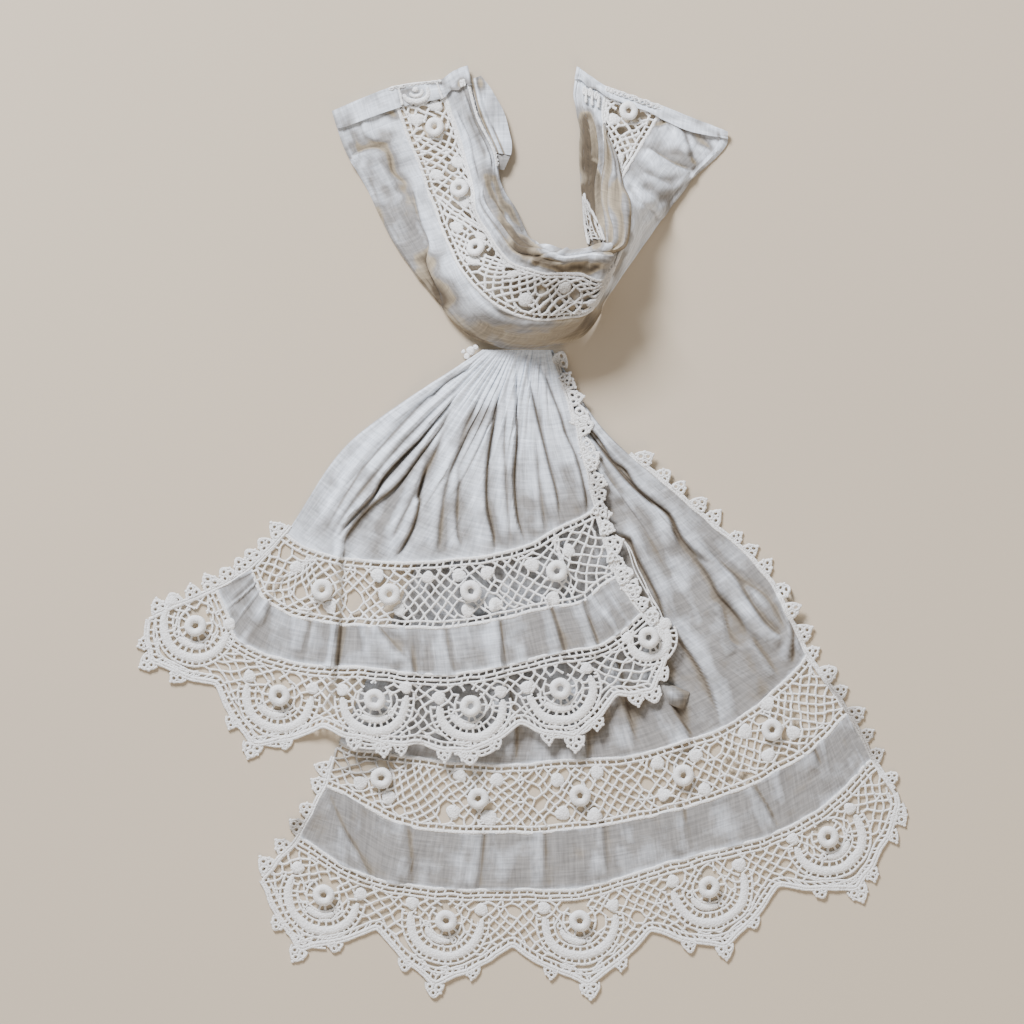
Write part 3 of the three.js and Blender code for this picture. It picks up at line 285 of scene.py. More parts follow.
# Painted shade and painted highlights: sheer cloth and thread are painted warm and dark where they lie on
# what is under them or hang in a hollow, and cool and white where they stand clear. Soft strokes: how much
# warmer, breadth and plan line.
PAINTED_SHADE_STROKES = {
    "collar_outer_strip": [
        (0.45, 2.2, [(-75, 176.5), (-65, 177.5), (-54, 174.5)]), (0.5, 2, [(-63, 178), (-56, 175.5)]),
        (0.45, 3.4, [(-70, 163), (-62, 162.5), (-56, 165)]),
        (0.3, 2, [(-70, 160.5), (-64, 161.5), (-59, 162)]),
        (0.55, 2.9, [(-57, 158), (-54, 151.5), (-50.5, 145)]),
        (0.45, 3.8, [(-50, 142), (-47.3, 133), (-45, 125), (-43, 117)]),
        (1.1, 3.9, [(-41, 114), (-37.5, 105.6), (-34.5, 98)]),
        (0.3, 9, [(-72, 160), (-62, 150), (-52, 128)]), (0.25, 4, [(-68, 172), (-60, 164), (-56, 156)]),
        (0.4, 3, [(-60, 135), (-56, 127), (-50, 117), (-44, 107)]),
        (0.85, 5.5, [(-36, 101), (-30, 92), (-22, 85.5), (-17, 83)]),
        (0.45, 2, [(-34, 95), (-27, 86), (-16, 79)]),
        (0.75, 6.5, [(-5, 81.5), (4, 81), (16, 83), (26, 88), (31, 97)]),
        (0.35, 5, [(-14, 89), (0, 87), (14, 87.5), (24, 91)]),
        (0.5, 1.6, [(18, 78.5), (25, 84), (29.5, 91)]),
        (-0.35, 3, [(-31, 113), (-26.5, 106), (-20, 99), (-12, 93.5)]),
        (-0.35, 1.5, [(-8, 84.5), (2, 83.5), (11, 84)]),
        (-0.3, 2.2, [(-72, 154), (-64, 156.5), (-60, 152), (-52, 141)]),
        (0.5, 1.6, [(-44, 109), (-38, 99), (-33, 92)]), (-0.25, 2, [(-73, 170), (-66, 168.5), (-60, 171)]),
        (0.75, 1.8, [(54, 170.5), (62, 171.8), (69.7, 168.6), (77.5, 161)]),
        (0.4, 4.8, [(53, 162.3), (61, 159), (69, 153.5)]),
        (0.4, 1.6, [(65.5, 170), (68, 162.3), (70, 155)]),
        (0.42, 5, [(46, 149), (50, 142.5), (55, 138.5), (60, 135)]),
        (0.25, 9, [(52, 156), (62, 154), (72, 158)]),
        (0.6, 1.4, [(41.8, 139), (43, 128.7), (42.7, 119), (38, 108)]),
        (-0.3, 2.4, [(51, 157), (58, 152.5), (68, 149.5)]),
        (-0.9, 4, [(52, 137), (49, 128), (46, 118)]), (-0.2, 2.4, [(70, 164), (74, 158), (76, 155)]),
    ],
    "collar_neck_strip": [
        (0.75, 5.5, [(-15, 148), (-10, 138), (-4, 128), (1, 120)]),
        (0.55, 4, [(0, 119), (8, 112.5), (20, 110), (32, 111.5)]),
        (0.5, 1.2, [(-17, 148), (-11.3, 137), (-5.5, 125.5), (0, 117)]),
        (0.45, 1.1, [(-12.6, 148), (-7.6, 138), (-2.5, 128)]),
        (-0.8, 1.5, [(-6.5, 131), (-2, 125.5), (3, 121)]),
        (-0.3, 0.7, [(-14, 146), (-10, 138), (-5.5, 129)]),
        (-0.8, 1.6, [(6, 119.5), (15, 115.7), (27.7, 116), (36, 119)]),
        (0.9, 2, [(6.7, 112.8), (17.2, 110), (29.8, 110.2)]),
        (1.1, 4.5, [(25.5, 172), (27.5, 160), (29.5, 146), (30, 134), (30, 122)]),
        (0.5, 1.1, [(26, 173.7), (28.6, 160.2), (32.4, 143.4), (34, 128)]),
        (0.5, 1, [(24.8, 145), (28, 133), (31, 123)]),
        (-0.9, 0.8, [(30.2, 156), (33.2, 143), (34.4, 132)]), (-0.7, 0.7, [(27.5, 168), (29.5, 158)]),
        (-0.4, 2, [(24, 192), (28, 183), (33, 174)]), (0.35, 2.4, [(-24, 184), (-20, 172), (-17, 160)]),
    ],
    "collar_lace_insertion": [
        (0.4, 8, [(-6, 104), (12, 99.5), (24, 99), (32, 103)]),
        (0.4, 6, [(8, 103), (16, 100.5), (26, 101)]),
        (0.6, 4, [(34, 112), (38, 122), (40, 133), (38.5, 146)]),
        (0.5, 5, [(26, 136), (28, 128), (31, 120)]),
        (0.35, 3.5, [(-22, 137), (-19, 128), (-12, 119), (-3, 112)]),
    ],
    "collar_left_end_hem": [
        (-0.1, 30, [(-76, 178), (-25, 192)]), (0.7, 2, [(-26, 189), (-22, 188)]),
        (0.5, 1.6, [(-30, 186), (-27, 182)]), (0.4, 1.4, [(-62, 178), (-52, 180)]),
        (0.4, 1.6, [(-50, 184), (-44, 186), (-40, 183)]),
    ],
    "collar_right_end_hem": [
        (-0.2, 30, [(25, 188), (82, 165)]), (0.6, 1.2, [(81, 166), (84.5, 162)]),
        (0.5, 1.4, [(28, 186), (32, 184), (35, 180)]),
    ],
    "short_gathered_panel": [
        (0.5, 4, [(12, 6), (20, 8), (26, 14)]), (0.45, 3, [(18, 26), (21, 18), (22, 10)]),
        (0.35, 3.5, [(-5, 26), (-6, 16), (-4, 6)]), (0.4, 4, [(-16, 8), (-12, 0), (-6, -3)]),
        (0.4, 3.5, [(4, 10), (6, 0), (14, -4)]), (0.4, 3, [(-30, 10), (-33, 2), (-35, -6)]),
        (0.4, 3.5, [(-40, 30), (-48, 20), (-54, 12), (-60, 4)]),
        (0.35, 3, [(-66, 24), (-72, 12), (-77, 2)]), (0.4, 3, [(-62, 20), (-68, 8), (-73, -1)]),
        (0.35, 3, [(-12, 52), (-20, 46), (-28, 38)]), (-0.3, 3, [(-58, 44), (-66, 32), (-74, 20)]),
        (-0.35, 6, [(-18, 66), (-8, 60), (2, 64)]),
    ],
    "long_gathered_panel": [
        (0.75, 3, [(34, 12), (43, -8), (49.5, -26), (55, -43), (60, -58)]),
        (0.5, 2.2, [(47, 8), (55, -6), (61, -16)]), (0.9, 6, [(30, -80), (40, -76), (52, -68), (64, -76)]),
        (0.5, 4, [(78, -30), (82, -44), (84, -56)]), (0.45, 3, [(94, -50), (99, -62), (100, -72)]),
        (0.4, 2.6, [(104, -32), (110, -44), (113, -54)]), (-0.3, 3.5, [(56, 2), (66, -20), (72, -36)]),
        (-0.3, 3, [(92, -30), (100, -42)]),
    ],
    "long_lace_insertion": [
        (0.8, 5, [(-80, -92), (-69, -99), (-58, -96)]), (0.35, 4, [(40, -90), (20, -94)]),
    ],
    "long_left_trim": [(0.85, 3.5, [(-94, -122), (-99, -128)])],
    "long_right_trim": [(0.7, 6, [(128, -66), (136, -78), (146, -92)])],
    "short_right_trim": [(0.75, 3, [(14, 69), (17.5, 62)]), (0.4, 3, [(28, 22), (34, 12)])],
    "short_left_trim": [(0.7, 2.2, [(-136, -30), (-146, -37)])],
}


def hex_colour(code):
    """An sRGB hex colour as the linear colour that Blender works in."""
    channels = [int(code[at:at + 2], 16) / 255 for at in (1, 3, 5)]
    return [c / 12.92 if c <= 0.04045 else ((c + 0.055) / 1.055) ** 2.4 for c in channels] + [1.0]


def size_setting(name, description, default, low, high):
    """A length in metres, from a size and its limits in millimetres."""
    return bpy.props.FloatProperty(name=name, description=description, default=default * MM,
                                   min=low * MM, max=high * MM, unit="LENGTH")


def colour_setting(name, description, code):
    return bpy.props.FloatVectorProperty(name=name, description=description, size=4, min=0, max=1,
                                         default=hex_colour(code), subtype="COLOR")


def count_setting(name, description, default, low, high):
    return bpy.props.IntProperty(name=name, description=description, default=default, min=low, max=high)


class LinenSettings(bpy.types.PropertyGroup):
    """Sheer plain-woven linen of the band, the panels and the strips."""

    thickness: size_setting("Thickness", "Thickness of the linen with its nap", 0.6, 0.2, 1)
    pleats: count_setting("Pleats", "Small pleats in the gathering of a fall", 24, 6, 60)
    crumple: size_setting("Crumple", "Height of the soft crumples of worn cloth", 0.45, 0, 2)
    colour: colour_setting("Colour", "Cloth where light falls on it", "#EAF0F7")
    # Painted shade: the half shade, shade, band shade and furrow colours stand in for shade on the cloth.
    half_shade_colour: colour_setting("Half shade colour", "Cloth turned a little from the light", "#979490")
    shade_colour: colour_setting("Shade colour", "Cloth of a fall that lies on what is under it", "#8C8375")
    band_shade_colour: colour_setting("Band shade colour", "Shaded cloth of the band, lit from behind", "#AFA189")
    crease_shade_colour: colour_setting("Furrow colour", "Cloth deep in a crease", "#483B2A")


class LaceSettings(bpy.types.PropertyGroup):
    """Crochet lace worked in white cotton."""

    thread: size_setting("Thread", "Radius of a crocheted thread of the net", 0.46, 0.2, 1.2)
    mesh: size_setting("Mesh", "Side of a diamond of the net", 3.65, 2, 8)
    ladder: size_setting("Ladder pitch", "Distance between the bars along a seam", 3.4, 1.5, 6)
    colour: colour_setting("Colour", "Colour of the cotton", "#FBFAF7")


class RingSettings(bpy.types.PropertyGroup):
    """Padded rings, buttonholed over a core of thread."""

    radius: size_setting("Radius", "Outer radius of a padded ring", 4.55, 3, 7)
    hole: size_setting("Hole", "Radius of its hole", 1.25, 0.5, 3)
    stitches: count_setting("Stitches", "Stitches round a ring", 30, 12, 60)


class StageSettings(bpy.types.PropertyGroup):
    """The floor, the light and the camera."""

    floor_colour: colour_setting("Floor colour", "Pale plain table top", "#C8B9A2")
    frame_width: size_setting("Frame width", "Width of the table that the camera sees", 430, 100, 2000)
    camera_height: size_setting("Camera height", "Height of the camera above the table", 5000, 1000, 20000)


# Shapes in general

CLOTH_REST = 0.35  # height of the middle of cloth that lies on the table
SEAM_BREADTH = 1.1  # of the pale line along a seam of the linen
LACE_RISE = 0.8  # the lace's upper side above its middle
RINGS = 10  # padded rings on each fall


def smooth_step(low, high, value):
    share = np.clip((value - low) / (high - low), 0, 1)
    return share * share * (3 - 2 * share)


def hill(offset, breadth):
    """A rounded hill, 1 at the middle and 0 at one breadth to each side."""
    return np.cos(math.pi / 2 * np.clip(offset / breadth, -1, 1)) ** 2


def name_seed(name):
    return sum(map(ord, name))


def unit(vectors):
    length = np.linalg.norm(vectors, axis=-1, keepdims=True)
    return vectors / np.maximum(length, 1e-9)


def curve_through(points, place):
    """A smooth curve that never loops, through the listed points. The place counts them from 0.
    Each place may have a list of its own."""
    place = np.asarray(place, float)
    points = np.asarray(points, float)
    if points.ndim == 2:
        points = np.broadcast_to(points, (len(place),) + points.shape)
    last = points.shape[1] - 1
    row = np.arange(len(place))
    start = np.clip(np.floor(place), 0, last - 1).astype(int)
    share = (place - start)[:, None]

    def at(index):
        return points[row, np.clip(index, 0, last)]

    def slope(index):
        before, here, after = at(index - 1), at(index), at(index + 1)
        left = np.linalg.norm(here - before, axis=1, keepdims=True)
        right = np.linalg.norm(after - here, axis=1, keepdims=True)
        pace = np.where((left == 0) | (right == 0), left + right, np.minimum(left, right))
        return unit(after - before) * pace

    near = (1 + 2 * share) * (1 - share) ** 2
    leave, arrive = share * (1 - share) ** 2, share ** 2 * (share - 1)
    return at(start) * near + at(start + 1) * (1 - near) + slope(start) * leave + slope(start + 1) * arrive


def lengths_along(line):
    return np.concatenate([[0], np.cumsum(np.linalg.norm(np.diff(line, axis=0), axis=1))])


def points_at(line, places):
    """Points at these lengths along a line."""
    along = lengths_along(line)
    return np.stack([np.interp(places, along, line[:, axis]) for axis in range(line.shape[1])], axis=1)


def even_line(line, step):
    """The line again, with points about one step apart."""
    total = lengths_along(line)[-1]
    return points_at(line, np.linspace(0, total, max(int(round(total / step)), 2) + 1))


def even_turns(count):
    """So many angles, evenly round a circle."""
    return 2 * math.pi * np.arange(count) / count


def round_points(turn):
    """Places on a circle of radius 1 at these angles."""
    return np.stack([np.cos(turn), np.sin(turn)], axis=-1)


def gauss(offset, breadth):
    """A bell that is 1 in its middle and dies away beyond its breadth."""
    return np.exp(-((offset / breadth) ** 2))


def whole_curve(points, count):
    """A smooth curve through all the points, in this many places."""
    return curve_through(points, np.linspace(0, len(points) - 1, count))


def drawn(creases, count):
    """The creases, with their lines drawn smooth."""
    return [(ridge, left, right, whole_curve(line, count)) for ridge, left, right, line in creases]


def noise_on(flat, size, seed):
    return soft_noise(flat[..., 0], flat[..., 1], size, seed)


def wandering(plan, size, seed):
    """A small step aside for each place of a plan."""
    return np.column_stack([noise_on(plan, size, seed), noise_on(plan, size, seed + 1)])


def grid_of(first, second):
    """The places of a grid, as two long lists and the grid's shape."""
    one, other = np.meshgrid(first, second, indexing="ij")
    return one.ravel(), other.ravel(), one.shape


def left_of(line):
    """Unit normals to the left of a plan line."""
    way = unit(np.gradient(line, axis=0))
    return np.stack([-way[:, 1], way[:, 0]], axis=1)


def softened(line, rounds):
    """The line with its corners rounded off. Its ends stay."""
    line = line.copy()
    for _ in range(rounds):
        line[1:-1] = (line[:-2] + 2 * line[1:-1] + line[2:]) / 4
    return line


def shifted(line, distance):
    """The line moved to its left."""
    normals = softened(left_of(line), 3)
    return line + unit(normals) * distance


def soft_noise(x, y, size, seed):
    """A smooth random height from -1 to 1, with hills about one size apart."""
    grid = np.random.default_rng(seed).uniform(-1, 1, (64, 64))
    u, v = x / size + 31.7, y / size + 17.3
    i, j = np.floor(u).astype(int), np.floor(v).astype(int)
    fu, fv = smooth_step(0, 1, u - i), smooth_step(0, 1, v - j)
    i, j, k, m = i % 64, j % 64, (i + 1) % 64, (j + 1) % 64
    low = grid[i, j] * (1 - fu) + grid[k, j] * fu
    high = grid[i, m] * (1 - fu) + grid[k, m] * fu
    return low * (1 - fv) + high * fv


def ring_box(node):
    """The centre and the lowest height of a ring's solid, in millimetres."""
    low, high = [np.array(corner, float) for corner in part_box(node)]
    return (low + high) / 2 / MM, low[2] / MM


# The falls


class Fall:
    """The plan and the height of one fall."""

    def __init__(self, name, sections, panel, creases, lift, seed):
        self.lines, self.panel = np.array(sections, float), np.array(panel, float)
        self.creases = drawn(creases, 30)
        self.last = len(sections) - 1
        self.lift, self.seed = lift, seed
        self.seats = []
        for number in range(1, RINGS + 1):
            (x, y, _), under = ring_box(f"{name}_ring_{number}")
            here = float(self.height(np.array([[x, y]]))[0])
            self.seats.append((x, y, under - LACE_RISE - here))

    def seam(self, column, across):
        return curve_through(self.lines[:, column], across)

    def hem_place(self, across):
        """Places straight from tip to valley and back, the way out there, and where they lie."""
        start = np.clip(np.floor(across), 0, self.last - 1).astype(int)
        share = (across - start)[:, None]
        place = self.lines[start, HEM] * (1 - share) + self.lines[start + 1, HEM] * share
        return place, unit(place - self.seam(EDGE, across)), start, share

    def hem(self, across):
        """The hem, with a small point halfway from tip to valley."""
        place, out, _, share = self.hem_place(across)
        return place + out * (HEM_POINT * np.clip(1 - np.abs(share - 0.5) * 4, 0, 1))

    def hem_cord(self, across):
        """The cord inside the hem's points: drawn in from each tip."""
        place, out, start, share = self.hem_place(across)
        near_tip = np.where((start % 2)[:, None] == 1, 1 - share, share)
        return place - out * (0.9 + 4.4 * smooth_step(0.3, 1.0, near_tip))

    def plan(self, band, across, down):
        if band == "gathered_panel":
            rows = [curve_through(row, 2 * across / self.last) for row in self.panel]
            rows = np.stack(rows + [self.seam(TOP, across)], axis=1)
            return curve_through(rows, down * (rows.shape[1] - 1))
        column = {"lace_insertion": TOP, "linen_strip": FOOT, "scalloped_edging": EDGE}[band]
        upper = self.seam(column, across)
        lower = self.hem(across) if column == EDGE else self.seam(column + 1, across)
        return upper + (lower - upper) * down[:, None]

    def height(self, plan):
        """Height of the cloth's middle at places of the plan."""
        x, y = plan[:, 0], plan[:, 1]
        high = self.lift(x, y)
        for ridge, left, right, line in self.creases:
            high = high + ridge * crease(plan, line, left, right)
        crumple = bpy.context.scene.jabot_linen.crumple / MM
        high = high + crumple * (0.5 + 0.5 * noise_on(plan, 17, self.seed))
        high = high + 0.5 * crumple * (0.5 + 0.5 * noise_on(plan, 7.5, self.seed + 1))
        for seat_x, seat_y, rise in self.seats:
            away = np.hypot(x - seat_x, y - seat_y)
            high = high + rise * (1 - smooth_step(4, 13, away))
        return np.maximum(high, CLOTH_REST)

    def side(self, side):
        """The plan of one side, with the depth of each point."""
        across = np.full(25, 0.0 if side == "left" else float(self.last))
        down = np.linspace(0, 1, 25)
        bands = ("gathered_panel", "lace_insertion", "linen_strip", "scalloped_edging")
        plans = [self.plan(band, across, down) for band in bands]
        return np.concatenate(plans), np.concatenate([down + index for index in range(len(bands))])


def line_gap(plan, line):
    """How far each place is from a line, which side it is on, 1 for the left, and its share of the
    way along the line."""
    near = np.full(len(plan), np.inf)
    side = np.ones(len(plan))
    along = np.zeros(len(plan))
    for index in range(len(line) - 1):
        run = line[index + 1] - line[index]
        away = plan - line[index]
        share = np.clip(away @ run / (run @ run), 0, 1)
        gap = np.linalg.norm(away - share[:, None] * run, axis=1)
        closer = gap < near
        near = np.where(closer, gap, near)
        side = np.where(closer, np.sign(run[0] * away[:, 1] - run[1] * away[:, 0]), side)
        along = np.where(closer, (index + share) / (len(line) - 1), along)
    return near, side, along


def crease(plan, line, left, right):
    """A ridge, 1 high on its line and as broad to each side as it is told, with a furrow at the
    foot of the steep side. It fades at both ends."""
    near, side, along = line_gap(plan, line)
    ends = smooth_step(0, 0.18, along) * (1 - smooth_step(0.85, 1, along))
    ridge = gauss(near, np.where(side > 0, left, right))
    steep = min(left, right)
    furrow = gauss(near - 2.0 * steep, 0.9 * steep)
    return ends * (ridge - np.where((side > 0) == (left < right), 0.45 * furrow, 0))


def painted_shade_and_blotches(plan, node, blotch=0.0):
    """How warm a piece of this node looks: the strokes of painted shade and painted highlight, and the
    blotches of wear.
    """
    seed = name_seed(node)
    wavering_plan = plan + 1.5 * wandering(plan, 5, seed)
    tone = blotch * (noise_on(plan, 13, seed + 2) + 0.7 * noise_on(plan, 5, seed + 3))
    for much, breadth, line in PAINTED_SHADE_STROKES.get(node, ()):
        tone = tone + much * gauss(line_gap(wavering_plan, whole_curve(line, 4 * len(line)))[0], breadth)
    return tone


def crease_foot_shade(plan, creases):
    """Painted shade at the foot of each crease: a thin dark line on its steep side."""
    dark = np.zeros(len(plan))
    for ridge, left, right, line in creases:
        near, side, along = line_gap(plan, line)
        ends = smooth_step(0.05, 0.3, along) * (1 - smooth_step(0.75, 1, along))
        foot = gauss(near - 1.4 * min(left, right), 0.6) * ((side > 0) == (left < right))
        dark = np.maximum(dark, 0.25 * ridge * ends * foot)
    return dark


def gathers(across, depth, last, count, seed):
    """Small irregular pleats, which fan out below the gathering and die away down the cloth."""
    rng = np.random.default_rng(seed)
    high = np.zeros(len(across))
    for index in range(count):
        centre = last * (index + rng.uniform(0.15, 0.85)) / count
        breadth = last / count * rng.uniform(0.22, 0.42)
        sway, tall, reach = rng.uniform(-0.7, 0.7), rng.uniform(0.5, 1.3), rng.uniform(0.3, 1.0)
        offset = across - centre - sway * depth * depth
        lean = 1 + 0.6 * np.sign(offset) * (1 if rng.uniform() < 0.7 else -1)
        fade = smooth_step(-0.02, 0.1, depth) * (1 - smooth_step(0.35 * reach, reach, depth))
        high += tall * fade * gauss(offset, breadth * lean)
    return high


def soft_pleats(across, down, last, count, seed):
    """Shallow uneven pleats down a strip, which lean either way."""
    rng = np.random.default_rng(seed)
    high = np.zeros(len(across))
    for index in range(count):
        centre = last * (index + rng.uniform(0.0, 1.0)) / count
        breadth, sway, tall = rng.uniform(0.05, 0.16), rng.uniform(-0.35, 0.35), rng.uniform(0.25, 0.95)
        reach = rng.uniform(0.5, 1.3)
        offset = across - centre - sway * down
        fade = 1 - smooth_step(0.5 * reach, reach, down if rng.uniform() < 0.5 else 1 - down)
        high += tall * fade * gauss(offset, breadth)
    return high


def short_fall_lift(x, y):
    """How far the short fall is lifted off the table by the long one under it."""
    lower = [LONG_SECTIONS[0][column] for column in (TOP, FOOT, EDGE)]
    edge = np.array([row[0] for row in LONG_PANEL] + lower)
    outside = np.interp(y, edge[::-1, 1], edge[::-1, 0]) - x
    climbed = smooth_step(GATHER_LINE, GATHER_LINE - GATHER_RISE, y)
    lift = GATHER_LIFT + (LAYER_LIFT - GATHER_LIFT) * climbed
    return lift * (1 - smooth_step(LAYER_START, LAYER_END, outside)) + CLOTH_REST


def make_fall(name):
    """One of the falls, ready to dress."""
    if name == "short":
        return Fall(name, SHORT_SECTIONS, SHORT_PANEL, SHORT_CREASES, short_fall_lift, 11)
    return Fall(name, LONG_SECTIONS, LONG_PANEL, LONG_CREASES, lambda x, y: np.full(len(x), CLOTH_REST), 23)


# The collar band


def collar_middle(along, across):
    lines = [curve_through(COLLAR_SECTIONS[:, line], along) for line in COLLAR_LINES]
    points = curve_through(np.stack(lines, axis=1), across)
    for at_along, at_across, length, breadth, tall in COLLAR_FOLDS:
        points[:, 2] += tall * hill(along - at_along, length) * hill(across - at_across, breadth)
    points[:, 2] = np.maximum(points[:, 2], CLOTH_REST)
    return points


def collar_normal(along, across):
    step = 0.02
    lengthwise = collar_middle(along + step, across) - collar_middle(along - step, across)
    crosswise = collar_middle(along, across + step) - collar_middle(along, across - step)
    return unit(np.cross(lengthwise, crosswise))


FLAT_PLACES = np.array([0.0, 24, 44, 56, 68])  # the band's lines, laid flat
FLAT_SECTION = 17.0  # and the distance between its sections


def flat_band(along, across):
    """Places of the band laid flat."""
    return np.column_stack([np.asarray(along) * FLAT_SECTION, np.interp(across, COLLAR_LINES, FLAT_PLACES)])


def collar_creases(name):
    """The creases of one of the band's strips. Those of the neck strip lie in the flat band."""
    if name == "collar_outer_strip":
        return drawn(OUTER_CREASES, 24)
    return drawn([(*row[:3], flat_band(*np.transpose(row[3]))) for row in NECK_CREASES], 24)


def collar_relief(flat, places, creases):
    """How far the band's linen stands off its middle surface: creases and crumples."""
    crumple = bpy.context.scene.jabot_linen.crumple / MM
    high = crumple * (0.9 * noise_on(flat, 12, 41) + 0.6 * noise_on(flat, 5, 42))
    for ridge, left, right, line in creases:
        high += ridge * crease(places, line, left, right)
    return high


def rolled_edge(flat, at):
    """The roll of a narrow hem."""
    away = np.abs(flat[:, 1] - at)
    return 0.8 * gauss(away, 0.8) + 0.35 * gauss(away - 2.2, 0.5)


def smoothed(grid, reach, axis):
    """The grid, averaged over so many steps to each side."""
    for _ in range(max(int(reach * reach / 2), 1)):
        count = grid.shape[axis]
        wide = np.take(grid, np.clip(np.arange(-1, count + 1), 0, count - 1), axis=axis)
        parts = [np.take(wide, np.arange(shift, shift + count), axis=axis) for shift in range(3)]
        grid = (parts[0] + 2 * parts[1] + parts[2]) / 4
    return grid


def hollow_shade_and_ridge_light(high, along_reach, across_reach):
    """How far the cloth lies below its surroundings, as a tone: a furrow, where sheer cloth lies on what is
    under it, gets painted shade, and a ridge that stands clear of it gets a painted highlight."""
    wide = smoothed(smoothed(high, along_reach, 0), across_reach, 1)
    return np.clip(0.42 * (wide - high), -0.22, 1.0)


# Meshes


def finish_piece(name, wall, material, node, sharp=50):
    """Makes a piece of a wall, gives it its finish and seats it in the frame. A wall is its points
    (mm), its faces, the places of its points in the flat cloth, and their tones."""
    points, faces, uv, tone = wall
    mesh = bpy.data.meshes.new(name)
    mesh.from_pydata((points * MM).tolist(), [], faces)
    mesh.update()
    if uv is not None:
        corners = np.empty(len(mesh.loops), int)
        mesh.loops.foreach_get("vertex_index", corners)
        layer = mesh.uv_layers.new(name="cloth")
        layer.data.foreach_set("uv", (uv[corners] * MM).astype(np.float32).ravel())
    if tone is not None:
        shade = mesh.attributes.new("warm_shade", "FLOAT", "POINT")
        shade.data.foreach_set("value", np.asarray(tone, np.float32))
    mesh.shade_smooth()
    mesh.set_sharp_from_angle(angle=math.radians(sharp))
    mesh.materials.append(material)
    piece = bpy.data.objects.new(name, mesh)
    bpy.context.scene.collection.objects.link(piece)
    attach(piece, BODY)
    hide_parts(node)
    return piece


def cloth_wall(middle, normal, thickness, uv, tone):
    """A closed wall of cloth about a grid of middle points. Returns points, faces, uv and tone."""
    rows, columns = middle.shape[:2]
    upper = (middle + normal * thickness / 2).reshape(-1, 3)
    under = (middle - normal * thickness / 2).reshape(-1, 3)
    under[:, 2] = np.maximum(under[:, 2], 0.02)
    index = np.arange(rows * columns).reshape(rows, columns)
    a, b, c, d = index[:-1, :-1], index[:-1, 1:], index[1:, 1:], index[1:, :-1]
    top = np.stack([a, d, c, b], axis=-1).reshape(-1, 4)
    bottom = top[:, ::-1] + rows * columns
    rim = np.concatenate([index[0, :-1], index[:-1, -1], index[-1, :0:-1], index[:0:-1, 0]])
    following = np.roll(rim, -1)
    edge = np.stack([rim, following, following + rows * columns, rim + rows * columns], axis=1)
    faces = np.concatenate([top, bottom, edge]).tolist()
    uv, tone = uv.reshape(-1, 2), tone.ravel()
    return np.concatenate([upper, under]), faces, np.concatenate([uv, uv]), np.concatenate([tone, tone])


def grid_normals(middle):
    lengthwise, crosswise = np.gradient(middle, axis=0), np.gradient(middle, axis=1)
    normal = unit(np.cross(lengthwise, crosswise))
    return np.where(normal[..., 2:].mean() < 0, -normal, normal)


def hand_worked(plan):
    """The plan drawn slightly out of true, as hand work is."""
    return plan + 0.45 * wandering(plan, 6.5, 71)


SEAM_CORD, END_CORD, FINE_CORD = (0.8, 0.5), (0.6, 0.5), (0.5, 0.45)  # half widths and heights
SMALL_HOLE = 0.62  # radius of the hole of a tiny ring
RING_ROOM = 4.3  # radius that the net leaves free for a padded ring
BAR = 0.42  # radius of the bars of a ladder


